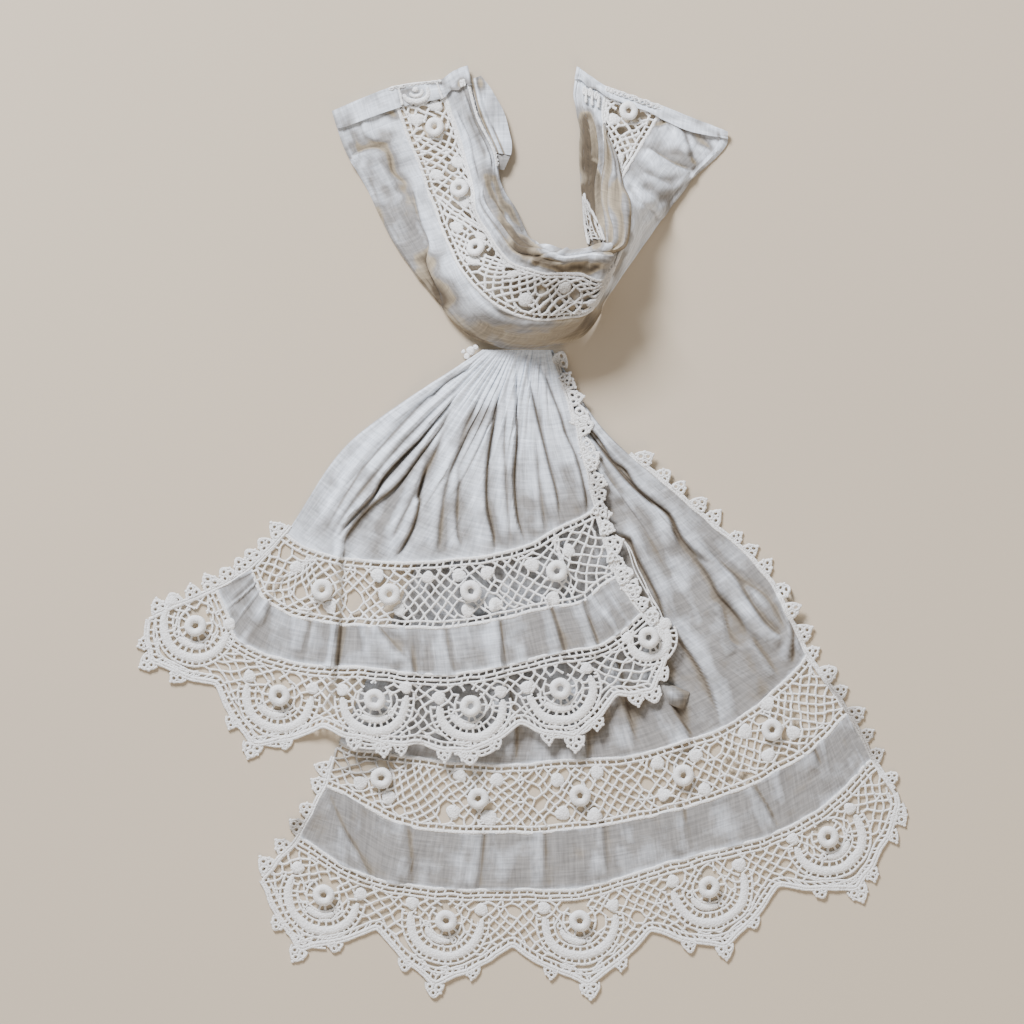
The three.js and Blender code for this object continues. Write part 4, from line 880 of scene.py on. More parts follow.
class Crochet:
    """Crochet worked in a flat plan, then laid on the cloth. lay turns places of the plan into
    points of the frame and the normals there."""

    def __init__(self, lay, seed):
        self.lay, self.rng = lay, np.random.default_rng(seed)
        self.points, self.faces, self.count = [], [], 0
        self.closed = []  # places that the net keeps out of
        self.rise = 0.0  # how far work that lies on other work is lifted

    def add(self, points, faces):
        self.points.append(points.reshape(-1, 3))
        self.faces.extend((np.asarray(faces) + self.count).tolist())
        self.count += len(self.points[-1])

    def tubes(self, paths, widths, heights, sides=6, lift=0.0):
        """Closed tubes along plan paths (tubes, points, 2), with oval sections."""
        tubes, steps = paths.shape[:2]
        places, normals = self.lay(hand_worked(paths.reshape(-1, 2)))
        places = (places + normals * (lift + self.rise)).reshape(tubes, steps, 3)
        normals = normals.reshape(tubes, steps, 3)
        way = unit(np.gradient(places, axis=1))
        aside = unit(np.cross(normals, way))
        above = np.cross(way, aside)
        turn = even_turns(sides)
        wide = np.broadcast_to(widths, (tubes, steps))[..., None, None] * np.cos(turn)[:, None]
        tall = np.broadcast_to(heights, (tubes, steps))[..., None, None] * np.sin(turn)[:, None]
        rings = places[:, :, None] + wide * aside[:, :, None] + tall * above[:, :, None]
        index = np.arange(tubes * steps * sides).reshape(tubes, steps, sides)
        following = np.roll(index, -1, axis=2)
        walls = np.stack([index[:, :-1], following[:, :-1], following[:, 1:], index[:, 1:]], axis=-1)
        index = index + self.count
        self.add(rings, walls.reshape(-1, 4))
        self.faces.extend(index[:, 0, ::-1].tolist() + index[:, -1].tolist())

    def cord(self, line, width, height, sides=8, step=0.9):
        """One cord along a plan line, knobbly with its stitches."""
        line = even_line(np.asarray(line, float), step)
        knobs = 1 + 0.22 * noise_on(line, 1.3, 55)
        self.tubes(line[None], width * knobs[None], height * knobs[None], sides)

    def threads(self, starts, ends, radius, steps=4, bow=0.12, rng=None):
        """Short crocheted threads, a little thicker at their knots, each slightly bowed."""
        rng = rng or self.rng
        share = np.linspace(0, 1, steps + 1)[None, :, None]
        across = ends - starts
        aside = np.stack([-across[:, 1], across[:, 0]], axis=1)[:, None]
        aside = aside * rng.normal(0, bow, (len(starts), 1, 1))
        paths = starts[:, None] + across[:, None] * share + aside * (4 * share * (1 - share)) * 0.5
        knot = 1 + 0.3 * (2 * share[..., 0] - 1) ** 4
        radii = radius * knot * rng.uniform(0.85, 1.15, (len(starts), 1))
        self.tubes(paths, radii, radii * 0.9)

    def ladder(self, line, width, pitch, uneven=0.12):
        """Bars to the left of a line, with a cord along their far ends. Returns that far line."""
        line = even_line(np.asarray(line, float), 0.8)
        far = shifted(line, width)
        total = lengths_along(line)[-1]
        count = max(int(round(total / pitch)), 2)
        places = (np.arange(count) + 0.5) / count + self.rng.normal(0, uneven / count, count)
        starts = points_at(line, np.clip(places, 0, 1) * total)
        ends = points_at(far, np.clip(places, 0, 1) * lengths_along(far)[-1])
        self.threads(starts, ends, BAR, steps=2, bow=0.05)
        self.cord(far, *FINE_CORD, sides=6)
        return far

    def disc(self, centre, radius, tall=0.75):
        """A worked disc: a low dome with an uneven rim."""
        rng = self.rng
        sides = 18 if radius > 1.5 else 8
        turn = even_turns(sides)
        uneven = 1 + 0.07 * np.sin(3 * turn + rng.uniform(0, 6)) + rng.normal(0, 0.025, sides)
        shares, levels = (1.0, 1.06, 0.93, 0.68, 0.36), (-0.5, 0.0, 0.55, 0.85, 0.95)
        plan = [centre + radius * share * uneven[:, None] * round_points(turn) for share in shares]
        lifts = [np.full(sides, level * tall) + rng.normal(0, 0.05, sides) for level in levels]
        plan.append(np.array([centre]))
        lifts.append(np.array([tall * 0.98]))
        places, normals = self.lay(hand_worked(np.concatenate(plan)))
        places = places + normals * (np.concatenate(lifts) + self.rise)[:, None]
        index = np.arange(len(shares) * sides).reshape(len(shares), sides)
        following = np.roll(index, -1, axis=1)
        walls = np.stack([index[:-1], following[:-1], following[1:], index[1:]], axis=-1).reshape(-1, 4)
        start = self.count
        top = start + len(shares) * sides
        self.add(places, walls)
        self.faces.extend([[start + a, start + b, top] for a, b in zip(index[-1], following[-1])])
        self.faces.append((index[0, ::-1] + start).tolist())
        self.keep_out(centre, -1, radius * 0.98)

    def crescent(self, centre, radius, way, spread, width):
        """A solid curved band about a centre, tapering to its ends."""
        share = np.linspace(-1, 1, 64)
        turn = np.radians(way + spread * share)
        taper = 0.35 + 0.65 * np.sqrt(np.clip(1 - share ** 4, 0, 1))
        uneven = 1 + 0.05 * np.sin(5 * turn + self.rng.uniform(0, 6)) + self.rng.normal(0, 0.05, 64)
        line = centre + radius * round_points(turn)
        self.tubes(line[None], (width * taper * uneven)[None], 0.6, sides=10, lift=0.1)

    def small_ring(self, centre, radius):
        """A tiny ring of close stitches."""
        middle, thick = (radius + SMALL_HOLE) / 2, (radius - SMALL_HOLE) / 2
        circle = round_points(np.linspace(0, 2 * math.pi, 13))
        self.tubes((centre + middle * circle)[None], thick, 0.55)

    def holes(self, centre, low, high, way, spread, pitch):
        """A curved row of holes: bars from one radius to another, with a cord beyond them."""
        count = max(int(math.radians(2 * spread) * (low + high) / 2 / pitch), 4)
        share = (np.arange(count) + self.rng.uniform(0.3, 0.7, count)) / count
        turn = np.radians(way - spread + 2 * spread * share)
        circle = round_points(turn)
        self.threads(centre + low * circle, centre + high * circle, 0.46, steps=2, bow=0.06)
        self.cord(arc_about(centre, high, way, spread), *FINE_CORD, sides=6)

    def scallop(self, centre, radius, way, spread):
        """Rounds of crochet about a padded ring: spokes, a small crescent, holes, a wide band, holes,
        and a short row of holes towards the tip."""
        self.holes(centre, 4.2, 6.9, way, min(spread + 40, 140), 3.0)
        self.keep_out(centre, -1, 7.1)
        if radius > 10:
            lean = way + self.rng.uniform(-32, 12)
            self.crescent(centre, 8.6, lean, 40, 1.45)
            self.keep_out(centre, 7.0, 10.2, math.radians(lean), math.radians(42))
            for side in (-1, 1):
                self.small_ring(centre + 8.7 * round_points(math.radians(lean + side * 50)), 1.5)
            self.holes(centre, radius - 4.0, radius - 1.4, way, spread - 4, 2.6)
            self.cord(arc_about(centre, radius - 4.0, way, spread), 0.45, 0.4, sides=6)
            self.holes(centre, radius + 5.6, radius + 7.3, way, 24, 2.4)
            self.cord(arc_about(centre, radius + 5.6, way, 26), *FINE_CORD, sides=6)
            self.keep_out(centre, radius + 5.4, radius + 7.5, math.radians(way), 0.45)
        self.crescent(centre, radius, way, spread, 1.85)
        self.holes(centre, radius + 1.3, radius + 3.3, way, spread, 2.6)
        low = 4.2 if radius < 10 else radius - 4.2
        self.keep_out(centre, low, radius + 3.5, math.radians(way), math.radians(spread))

    def picot(self, here, out, width, reach):
        """A blunt lobe of three small rings on a cord, two below and one at its tip."""
        rng, way = self.rng, np.array([out[1], -out[0]])
        outline = [(-1.0, 0.0), (-0.98, 0.34), (-0.52, 0.74), (-0.2, 0.98), (0.2, 0.98), (0.52, 0.74),
                   (0.98, 0.34), (1.0, 0.0)]
        loop = np.array([here + side * width * way + tall * reach * out for side, tall in outline])
        self.cord(softened(even_line(loop, 0.6), 2), 0.5, 0.5, sides=6, step=0.8)
        for side, tall, share in ((-0.47, 0.27, 0.3), (0.47, 0.27, 0.3), (0.0, 0.68, 0.28)):
            centre = here + (side * width + rng.normal(0, 0.12)) * way + tall * reach * out
            self.small_ring(centre, max(share * reach * rng.uniform(0.95, 1.15), 1.05))
        for side, tall in ((-0.75, 0.62), (0.78, 0.6), (0.1, 1.04)):
            if rng.uniform() < 0.7:
                knob = here + side * width * way + tall * reach * out
                self.disc(knob, rng.uniform(0.6, 0.8), tall=0.5)

    def keep_out(self, centre, low, high, way=0.0, spread=math.pi):
        """Closes a place to the net: from one radius to another, and so far to each side of a way."""
        self.closed.append((centre, low, high, way, spread))

    def is_open(self, plan, border):
        """Where the net may run: inside the border and out of every closed place."""
        free = inside(plan, border)
        for centre, low, high, way, spread in self.closed:
            away = plan - centre
            far = np.linalg.norm(away, axis=1)
            off = np.abs((np.arctan2(away[:, 1], away[:, 0]) - way + math.pi) % (2 * math.pi) - math.pi)
            free &= ~((far > low) & (far < high) & (off <= spread))
        return free

    def net(self, border, spine, depth, seed, fine=1.0, thick=1.0):
        """A diamond net inside a border, drawn up between what it is fastened to. Its rows follow
        the spine, and it reaches this depth to the spine's left."""
        lace = bpy.context.scene.jabot_lace
        rng = np.random.default_rng(seed)
        half = fine * lace.mesh / MM / math.sqrt(2)
        total = lengths_along(spine)[-1]
        columns, rows = int(total / half) + 3, int(depth / half) + 3
        i, j, _ = grid_of(np.arange(-2, columns), np.arange(-2, rows))
        keep = (i + j) % 2 == 0
        i, j = i[keep], j[keep]
        along = (i + rng.normal(0, 0.27, len(i))) * half + 1.3 * soft_noise(i * half, j * half, 13, seed)
        off = (j + rng.normal(0, 0.27, len(j))) * half + 1.3 * soft_noise(i * half, j * half, 13, seed + 1)
        base = points_at(spine, np.clip(along, 0, total))
        way = spine_normals(spine, np.clip(along, 0, total))
        beyond = along - np.clip(along, 0, total)
        plan = base + way * off[:, None] + np.stack([way[:, 1], -way[:, 0]], axis=1) * beyond[:, None]
        known = {place: number for number, place in enumerate(zip(i.tolist(), j.tolist()))}
        edges = []
        for (a, b), number in known.items():
            for step in ((1, 1), (1, -1)):
                other = known.get((a + step[0], b + step[1]))
                if other is not None and rng.uniform() > 0.02:
                    edges.append((number, other))
            other = known.get((a + 2, b)) if rng.uniform() < 0.035 else None
            if other is not None:
                edges.append((number, other))
        self.weave(plan, np.array(edges), border, rng, thick * lace.thread / MM)

    def weave(self, plan, edges, border, rng, radius):
        """Trims the net to its border, draws it up tight and turns it to threads."""
        free = self.is_open(plan, border)
        ends = free[edges]
        whole = edges[ends.all(axis=1)]
        whole = whole[self.is_open((plan[whole[:, 0]] + plan[whole[:, 1]]) / 2, border)]
        cut = edges[ends[:, 0] ^ ends[:, 1]]
        swap = free[cut[:, 1]]
        cut[swap] = cut[swap][:, ::-1]
        low, high = plan[cut[:, 0]].copy(), plan[cut[:, 1]].copy()
        for _ in range(9):
            middle = (low + high) / 2
            clear = self.is_open(middle, border)
            low[clear], high[~clear] = middle[clear], middle[~clear]
        fastened = high + unit(high - low) * 0.25
        number = len(plan) + np.arange(len(cut))
        plan = np.concatenate([plan, fastened])
        edges = np.concatenate([whole, np.stack([cut[:, 0], number], axis=1)])
        loose = np.concatenate([free, np.zeros(len(cut), bool)])
        for _ in range(3):  # a thread that ends nowhere is left out
            uses = np.bincount(edges.ravel(), minlength=len(plan))
            hanging = loose & (uses < 2)
            edges = edges[~hanging[edges].any(axis=1)]
        for _ in range(4):
            total = np.zeros_like(plan)
            np.add.at(total, edges[:, 0], plan[edges[:, 1]])
            np.add.at(total, edges[:, 1], plan[edges[:, 0]])
            uses = np.bincount(edges.ravel(), minlength=len(plan))
            moves = loose & (uses > 0)
            plan[moves] += 0.5 * (total[moves] / uses[moves, None] - plan[moves])
        span = np.linalg.norm(plan[edges[:, 0]] - plan[edges[:, 1]], axis=1)
        edges = edges[span > 0.35]
        self.threads(plan[edges[:, 0]], plan[edges[:, 1]], radius, rng=rng)

    def piece(self, name, node):
        points = np.concatenate(self.points)
        # The strokes paint shade and highlights on the thread.
        wall = points, self.faces, None, np.clip(painted_shade_and_blotches(points[:, :2], node), 0, 1)
        cotton = finish_named("cotton_crochet", crochet_finish, 0.75 * MM, 0.25 * MM)
        finish_piece(f"{name}_crochet", wall, cotton, node, sharp=80)


def spine_normals(spine, along):
    normals = unit(softened(left_of(spine), 12))
    known = lengths_along(spine)
    return unit(np.stack([np.interp(along, known, normals[:, axis]) for axis in range(2)], axis=1))


def arc_about(centre, radius, way, spread):
    return centre + radius * round_points(np.radians(np.linspace(way - spread, way + spread, 60)))


def inside(plan, border):
    """Which places of the plan lie inside a closed border."""
    after = np.roll(border, -1, axis=0)
    result = np.zeros(len(plan), bool)
    for (ax, ay), (bx, by) in zip(border, after):
        if ay == by:
            continue
        crosses = (ay > plan[:, 1]) != (by > plan[:, 1])
        result ^= crosses & (plan[:, 0] < (bx - ax) * (plan[:, 1] - ay) / (by - ay) + ax)
    return result


# Finishes


def fill_inputs(tree, node, inputs):
    """Links the inputs whose values are sockets, and sets the others."""
    for place, value in inputs.items():
        if isinstance(value, bpy.types.NodeSocket):
            tree.links.new(value, node.inputs[place])
        else:
            node.inputs[place].default_value = value


def add_node(tree, kind, inputs=(), **settings):
    """Adds a node with its settings, and returns its outputs. Its inputs are a row in the node's
    own order, or they go by name or number."""
    node = tree.nodes.new(f"ShaderNode{kind}")
    for name, value in settings.items():
        setattr(node, name, value)
    fill_inputs(tree, node, inputs if isinstance(inputs, dict) else dict(enumerate(inputs)))
    return node.outputs


def new_finish(name):
    """An empty material with its shader."""
    material = bpy.data.materials.new(name)
    material.use_nodes = True
    return material, material.node_tree, material.node_tree.nodes["Principled BSDF"]


# In the finishes, a map range reads a value and turns its least and most into two others, and a
# mix has its share at 0, numbers at 2 and 3, and colours at 6 and 7, with the mixed colour at 2.


def linen_finish(name, shade_colour):
    """Sheer linen in plain weave, hand-washed and pressed: uneven threads cross as pale bars and slubs, and
    where the cloth lies on what is under it, painted shade makes it warm and then dark."""
    linen = bpy.context.scene.jabot_linen
    material, tree, shader = new_finish(name)
    uv = add_node(tree, "UVMap", uv_map="cloth")[0]
    # A linen thread is 0.3 mm, finer than the render shows, so the weave is drawn at 1 mm.
    # The last two are slubs, thicker and longer than the rest.
    threads = []
    for scale in ((60, 800, 1), (800, 70, 1), (28, 520, 1), (520, 32, 1)):
        stretched = add_node(tree, "Mapping", {"Vector": uv, "Scale": scale})[0]
        noise = {"Vector": stretched, "Scale": 1.0, "Detail": 2.0, "Roughness": 0.7}
        threads.append(add_node(tree, "TexNoise", noise)[0])
    weave = add_node(tree, "Mix", {0: 0.5, 2: threads[0], 3: threads[1]}, data_type="FLOAT")[0]
    thickest = add_node(tree, "Math", threads[2:], operation="MAXIMUM")[0]
    slubs = add_node(tree, "MapRange", (thickest, 0.6, 0.76, 0.0, 0.24))[0]
    place = add_node(tree, "TexCoord")["Object"]
    cloud = add_node(tree, "TexNoise", {"Vector": place, "Scale": 55, "Detail": 5, "Roughness": 0.65})[0]
    shade = add_node(tree, "Attribute", attribute_name="warm_shade")["Fac"]
    thin = add_node(tree, "MapRange", (cloud, 0.36, 0.68, -0.16, 0.26))[0]
    warm = add_node(tree, "Math", (thin, shade), operation="ADD", use_clamp=True)[0]
    # Painted shade: the warm_shade tone turns the cloth to half shade, then to the shade colour, and in a
    # crease's foot to the crease shade colour.
    lesser = add_node(tree, "MapRange", (warm, 0.0, 0.58))[0]
    greater = add_node(tree, "MapRange", (warm, 0.72))[0]
    deep = add_node(tree, "MapRange", (shade, 0.85, 1.7, 0.0, 0.9))[0]
    cloth = tuple(linen.colour)
    for share, colour in ((lesser, linen.half_shade_colour), (greater, shade_colour), (deep, linen.crease_shade_colour)):
        cloth = add_node(tree, "Mix", {0: share, 6: cloth, 7: tuple(colour)}, data_type="RGBA")[2]
    bars = add_node(tree, "MapRange", (weave, 0.34, 0.66, 0.6, 1.12))[0]
    lines = add_node(tree, "Math", (bars, slubs), operation="ADD")[0]
    streaked = add_node(tree, "Mix", {0: 1.0, 6: cloth, 7: lines}, data_type="RGBA", blend_type="MULTIPLY")[2]
    bump = add_node(tree, "Bump", {"Height": weave, "Strength": 0.4, "Distance": 0.4 * MM})[0]
    fill_inputs(tree, shader, {"Base Color": streaked, "Normal": bump, "Roughness": 0.82, "IOR": 1.53,
                               "Specular IOR Level": 0.3, "Sheen Weight": 0.12, "Sheen Roughness": 0.5})
    return material


def crochet_finish(name, stitch, depth):
    """Mercerised cotton, crocheted: round twisted thread, so tiny stitches catch the light."""
    scene = bpy.context.scene
    material, tree, shader = new_finish(name)
    place = add_node(tree, "TexCoord")["Object"]
    cells = add_node(tree, "TexVoronoi", {"Vector": place, "Scale": 1 / stitch}, feature="F1")["Distance"]
    noise = {"Vector": place, "Scale": 1.4 / stitch, "Detail": 3, "Roughness": 0.6}
    fuzz = add_node(tree, "TexNoise", noise)[0]
    hollow = add_node(tree, "MapRange", (cells, 0.15, 0.75, 1.0, 0.0))[0]
    relief = add_node(tree, "Math", (fuzz, 0.5, hollow), operation="MULTIPLY_ADD")[0]
    # Painted shade: the thread is darker in the hollows between stitches, where the relief is low.
    tint = add_node(tree, "MapRange", (relief, 0.1, 1.2, 0.76, 1.03))[0]
    shade = add_node(tree, "Attribute", attribute_name="warm_shade")["Fac"]
    # Where the strokes paint shade, the thread takes the fall's shade colour.
    pale, warm = tuple(scene.jabot_lace.colour), tuple(scene.jabot_linen.shade_colour)
    thread = add_node(tree, "Mix", {0: shade, 6: pale, 7: warm}, data_type="RGBA")[2]
    base = add_node(tree, "Mix", {0: 1.0, 6: thread, 7: tint}, data_type="RGBA", blend_type="MULTIPLY")[2]
    bump = add_node(tree, "Bump", {"Height": relief, "Strength": 0.6, "Distance": depth})[0]
    fill_inputs(tree, shader, {"Base Color": base, "Normal": bump, "Roughness": 0.7, "IOR": 1.53,
                               "Specular IOR Level": 0.35, "Sheen Weight": 0.15})
    return material


def table_finish():
    """A table top painted in matt emulsion: plain, pale and a little warm."""
    material, tree, shader = new_finish("table_top_matt_paint")
    place = add_node(tree, "TexCoord")["Object"]
    cloud = add_node(tree, "TexNoise", {"Vector": place, "Scale": 3, "Detail": 2})[0]
    tint = add_node(tree, "MapRange", (cloud, 0.3, 0.7, 0.97, 1.02))[0]
    paint = tuple(bpy.context.scene.jabot_stage.floor_colour)
    base = add_node(tree, "Mix", {0: 1.0, 6: paint, 7: tint}, data_type="RGBA", blend_type="MULTIPLY")[2]
    fill_inputs(tree, shader, {"Base Color": base, "Roughness": 0.9})
    return material


def finish_named(name, make, *looks):
    """A finish that is made once and shared by its pieces."""
    return bpy.data.materials.get(name) or make(name, *looks)


# The band's own linen differs only in its shade colour: painted shade of cloth that stands clear and is lit
# from behind.
def band_linen():
    return finish_named("sheer_linen_of_the_band", linen_finish, bpy.context.scene.jabot_linen.band_shade_colour)


# The operators


PANEL_GRID = {"short": (240, 92), "long": (262, 124)}  # faces across and down
STRIP_GRID = (230, 18)
LINEN_TONE = {"short": -0.02, "long": 0.36}  # how warm the top of each panel looks
STRIP_TONE = {"short": 0.46, "long": 0.66}
LOOSE_CORNER = [(56.5, -62.5), (69.5, -67.5)]  # the long panel's corner that is turned over, its two ends


def fall_linen(name, band, grid, folded):
    """A panel or strip of a fall as a closed wall of cloth."""
    fall = make_fall(name)
    across, down, shape = grid_of(np.linspace(0, fall.last, grid[0] + 1), np.linspace(0, 1, grid[1] + 1))
    plan = fall.plan(band, across, down)
    settings = bpy.context.scene.jabot_linen
    if folded:
        high = fall.height(plan) + gathers(across, down, fall.last, settings.pleats, fall.seed + 7)
        tone = LINEN_TONE[name] + 0.22 * smooth_step(0.1, 0.9, down)
    else:
        high = fall.height(plan) + soft_pleats(across, down, fall.last, 26, fall.seed + 9)
        tone = np.full(len(down), STRIP_TONE[name])
    middle = np.column_stack([plan, high]).reshape(shape + (3,))
    spread, run = [np.linalg.norm(np.gradient(middle[..., :2], axis=axis), axis=-1) for axis in (0, 1)]
    uv = np.stack([np.cumsum(spread, axis=0), np.cumsum(run, axis=1)], axis=-1)
    uv[..., 0] = np.linspace(0, uv[-1, :, 0].max(), shape[0])[:, None]
    node = f"{name}_{band}"
    # Painted shade and light: the strokes, the dark foot of each crease and the hollows, with painted
    # highlights on the ridges.
    tone = tone + painted_shade_and_blotches(plan, node, 0.11)
    tone = np.minimum(tone, 0.5 + 0.45 * (tone - 0.5)) + crease_foot_shade(plan, fall.creases)
    step = np.linalg.norm(np.diff(middle[..., :2], axis=0), axis=-1).mean()
    tone = tone.reshape(shape) + 0.85 * hollow_shade_and_ridge_light(middle[..., 2], 5.0 / step, 3.0)
    tone = tone - 0.55 * gauss(uv[..., 1].max(axis=1, keepdims=True) - uv[..., 1], SEAM_BREADTH)
    if not folded:
        tone = tone - 0.55 * gauss(uv[..., 1], SEAM_BREADTH)
    wall = cloth_wall(middle, grid_normals(middle), settings.thickness / MM, uv, tone)
    if node == "long_gathered_panel":
        ends = np.array(LOOSE_CORNER)
        ends = np.column_stack([ends, fall.height(ends) + 0.8])
        wall = joined([wall, turned_corner(*ends, (1.0, -8.5, 0.0), puffed=True)])
    linen = finish_named("sheer_linen_plain_weave", linen_finish, settings.shade_colour)
    return finish_piece(f"{node}_cloth", wall, linen, node)


class JABOT_OT_gathered_panels(bpy.types.Operator):
    """Gathers the linen panels of both falls"""

    bl_idname = "jabot.gathered_panels"
    bl_label = "Gathered panels"

    def execute(self, context):
        for name in ("long", "short"):
            piece = fall_linen(name, "gathered_panel", PANEL_GRID[name], True)
        return {"FINISHED"}


class JABOT_OT_linen_strips(bpy.types.Operator):
    """Lays the linen strips between the lace of both falls"""

    bl_idname = "jabot.linen_strips"
    bl_label = "Linen strips"

    def execute(self, context):
        for name in ("long", "short"):
            piece = fall_linen(name, "linen_strip", STRIP_GRID, False)
        return {"FINISHED"}


def lay_on_fall(fall):
    def lay(plan):
        return np.column_stack([plan, fall.height(plan) + 0.1]), np.broadcast_to(UP, (len(plan), 3))
    return lay


def seam_line(fall, column):
    return even_line(fall.seam(column, np.linspace(0, fall.last, 400)), 0.8)


class JABOT_OT_lace_insertions(bpy.types.Operator):
    """Crochets the lace insertions of both falls"""

    bl_idname = "jabot.lace_insertions"
    bl_label = "Lace insertions"

    def execute(self, context):
        pitch = context.scene.jabot_lace.ladder / MM
        for name, discs, seed in (("long", LONG_DISCS, 101), ("short", SHORT_DISCS, 102)):
            fall = make_fall(name)
            work = Crochet(lay_on_fall(fall), seed)
            top, foot = seam_line(fall, TOP)[::-1], seam_line(fall, FOOT)
            for seam in (top, foot):
                work.cord(seam, *SEAM_CORD)
            upper, lower = work.ladder(top, 2.5, pitch), work.ladder(foot, 2.5, pitch)
            for end in ([upper[-1], lower[0]], [lower[-1], upper[0]]):
                work.cord(end, *END_CORD)
            border = np.concatenate([upper, lower])
            for x, y, radius in discs:
                work.disc((x, y), radius)
            for x, y, _ in fall.seats:
                if inside(np.array([[x, y]]), border)[0]:
                    work.keep_out((x, y), -1, RING_ROOM)
            work.net(border, lower, 30, seed)
            work.piece(f"{name}_insertion", f"{name}_lace_insertion")
        return {"FINISHED"}


class JABOT_OT_scalloped_edgings(bpy.types.Operator):
    """Crochets the scalloped edgings of both falls"""

    bl_idname = "jabot.scalloped_edgings"
    bl_label = "Scalloped edgings"

    def execute(self, context):
        pitch = context.scene.jabot_lace.ladder / MM
        for name, scallops, seed in (("long", LONG_SCALLOPS, 201), ("short", SHORT_SCALLOPS, 202)):
            fall = make_fall(name)
            work = Crochet(lay_on_fall(fall), seed)
            seam = seam_line(fall, EDGE)[::-1]
            hem = softened(even_line(fall.hem_cord(np.linspace(0, fall.last, 900)), 0.8), 6)
            work.cord(seam, *SEAM_CORD)
            upper = work.ladder(work.ladder(seam, 2.3, pitch), 1.9, pitch * 1.2, uneven=0.3)
            work.cord(hem, 0.75, 0.55)
            work.cord(shifted(hem, -1.1), *END_CORD, sides=6)
            lower = work.ladder(hem, 2.3, pitch * 0.85)
            for end in ([seam[-1], hem[0]], [hem[-1], seam[0]]):
                work.cord(end, 0.7, 0.55)
            border = np.concatenate([upper, lower])
            hem_picots(work, fall, hem)
            for ring, radius, way, spread in scallops:
                centre = ring_box(f"{name}_ring_{ring}")[0][:2]
                work.scallop(centre, radius, way, spread)
                for side in (-1, 1):
                    turn = math.radians(way + side * (spread + 14))
                    work.disc(centre + (radius + 0.6) * round_points(turn), 2.6)
            work.net(border, seam, 52, seed)
            work.piece(f"{name}_edging", f"{name}_scalloped_edging")
        return {"FINISHED"}


def hem_picots(work, fall, hem):
    """Pointed lobes along the hem: a large one at each tip and small ones on the slopes."""
    for place in np.arange(0.5, fall.last - 0.2, 0.5):
        if place % 2 == 0:  # a valley
            continue
        tip = place % 2 == 1
        here = hem[np.linalg.norm(hem - fall.hem_cord(np.array([place]))[0], axis=1).argmin()]
        target = fall.hem(np.array([place]))[0]
        out = unit(target - here)
        if np.linalg.norm(target - here) < 1:
            out = unit(target - fall.seam(EDGE, [place])[0])
        width, reach = (3.9, 6.4) if tip else (2.9, 4.9)
        size = work.rng.uniform(0.9, 1.08)
        work.picot(here + 0.5 * out, out, size * width, size * reach)


class JABOT_OT_side_trims(bpy.types.Operator):
    """Crochets the picot trims along the sides of the falls"""

    bl_idname = "jabot.side_trims"
    bl_label = "Side trims"

    def execute(self, context):
        for number, (fall_name, side, start, end, points, reach) in enumerate(SIDE_TRIMS):
            fall, name = make_fall(fall_name), f"{fall_name}_{side}_trim"
            plan, depth = fall.side(side)
            chosen = (depth >= start) & (depth <= end)
            line = plan[chosen] if side == "right" else plan[chosen][::-1]
            line = even_line(softened(even_line(line, 1.0), 3), 0.8)
            work = Crochet(lay_on_edge(fall, line), 301 + number)
            work.cord(shifted(line, 0.2), 0.6, 0.55)
            base = shifted(line, 1.2)
            work.cord(base, 0.55, 0.5, sides=6)
            total = lengths_along(base)[-1]
            for place in (np.arange(points) + work.rng.uniform(0.35, 0.65, points)) / points * total:
                picot_fan(work, base, place, reach, name == "short_right_trim")
            work.lay = lay_on_fall(fall)
            if name == "short_right_trim":
                thread = whole_curve(LOOSE_THREAD, 40)
                for low, high, away in ((0, 40, 0.0), (3, 26, 1.5), (18, 38, 1.9)):  # its strands
                    part = thread[low:high]
                    swing = away * np.sin(np.linspace(0, math.pi, len(part)))[:, None]
                    work.cord(part - swing * left_of(part), 0.3, 0.3, sides=6)
            if name == "short_left_trim":
                for x, y, radius in GATHER_KNOTS:
                    work.disc((x, y), radius)
            work.piece(name, name)
        return {"FINISHED"}


def lay_on_edge(fall, line):
    """Lays a trim level with the edge that it is worked on."""
    known = fall.height(line)

    def lay(plan):
        gap = np.linalg.norm(plan[:, None] - line[None], axis=2)
        high = known[gap.argmin(axis=1)]
        return np.column_stack([plan, high + 0.15]), np.broadcast_to(UP, (len(plan), 3))
    return lay


def picot_fan(work, base, place, reach, ruffled):
    """One cluster of a trim: a picot that leans a little, and in a ruffled trim a second one that
    is crowded over it."""
    rng, here = work.rng, points_at(base, np.array([place]))[0]
    square = spine_normals(base, np.array([place]))[0]
    for number in range(2 if ruffled and rng.uniform() < 0.55 else 1):
        lean = rng.normal(0, 0.55 if ruffled else 0.12) + 0.5 * number
        turned = np.array([square[0] * math.cos(lean) - square[1] * math.sin(lean),
                           square[0] * math.sin(lean) + square[1] * math.cos(lean)])
        size = rng.uniform(0.7 if ruffled else 0.85, 1.15) * (0.8 if number else 1)
        work.rise = 0.7 * number
        work.picot(here - 0.3 * square, turned, 0.56 * reach * size, reach * size)
    work.rise = 0.0


# A loose thread that hangs out of the short fall's right trim, beside its insertion.
LOOSE_THREAD = [(38.5, -1.5), (43.5, -5.5), (47, -13), (50.2, -20.5), (54.5, -29), (57.6, -36), (58.4, -41),
                (57.2, -46)]
GATHER_KNOTS = [(-22.6, 75.6, 1.7), (-20.4, 77.2, 1.2), (-24.2, 73.4, 1.2), (-25.6, 75.2, 0.9)]


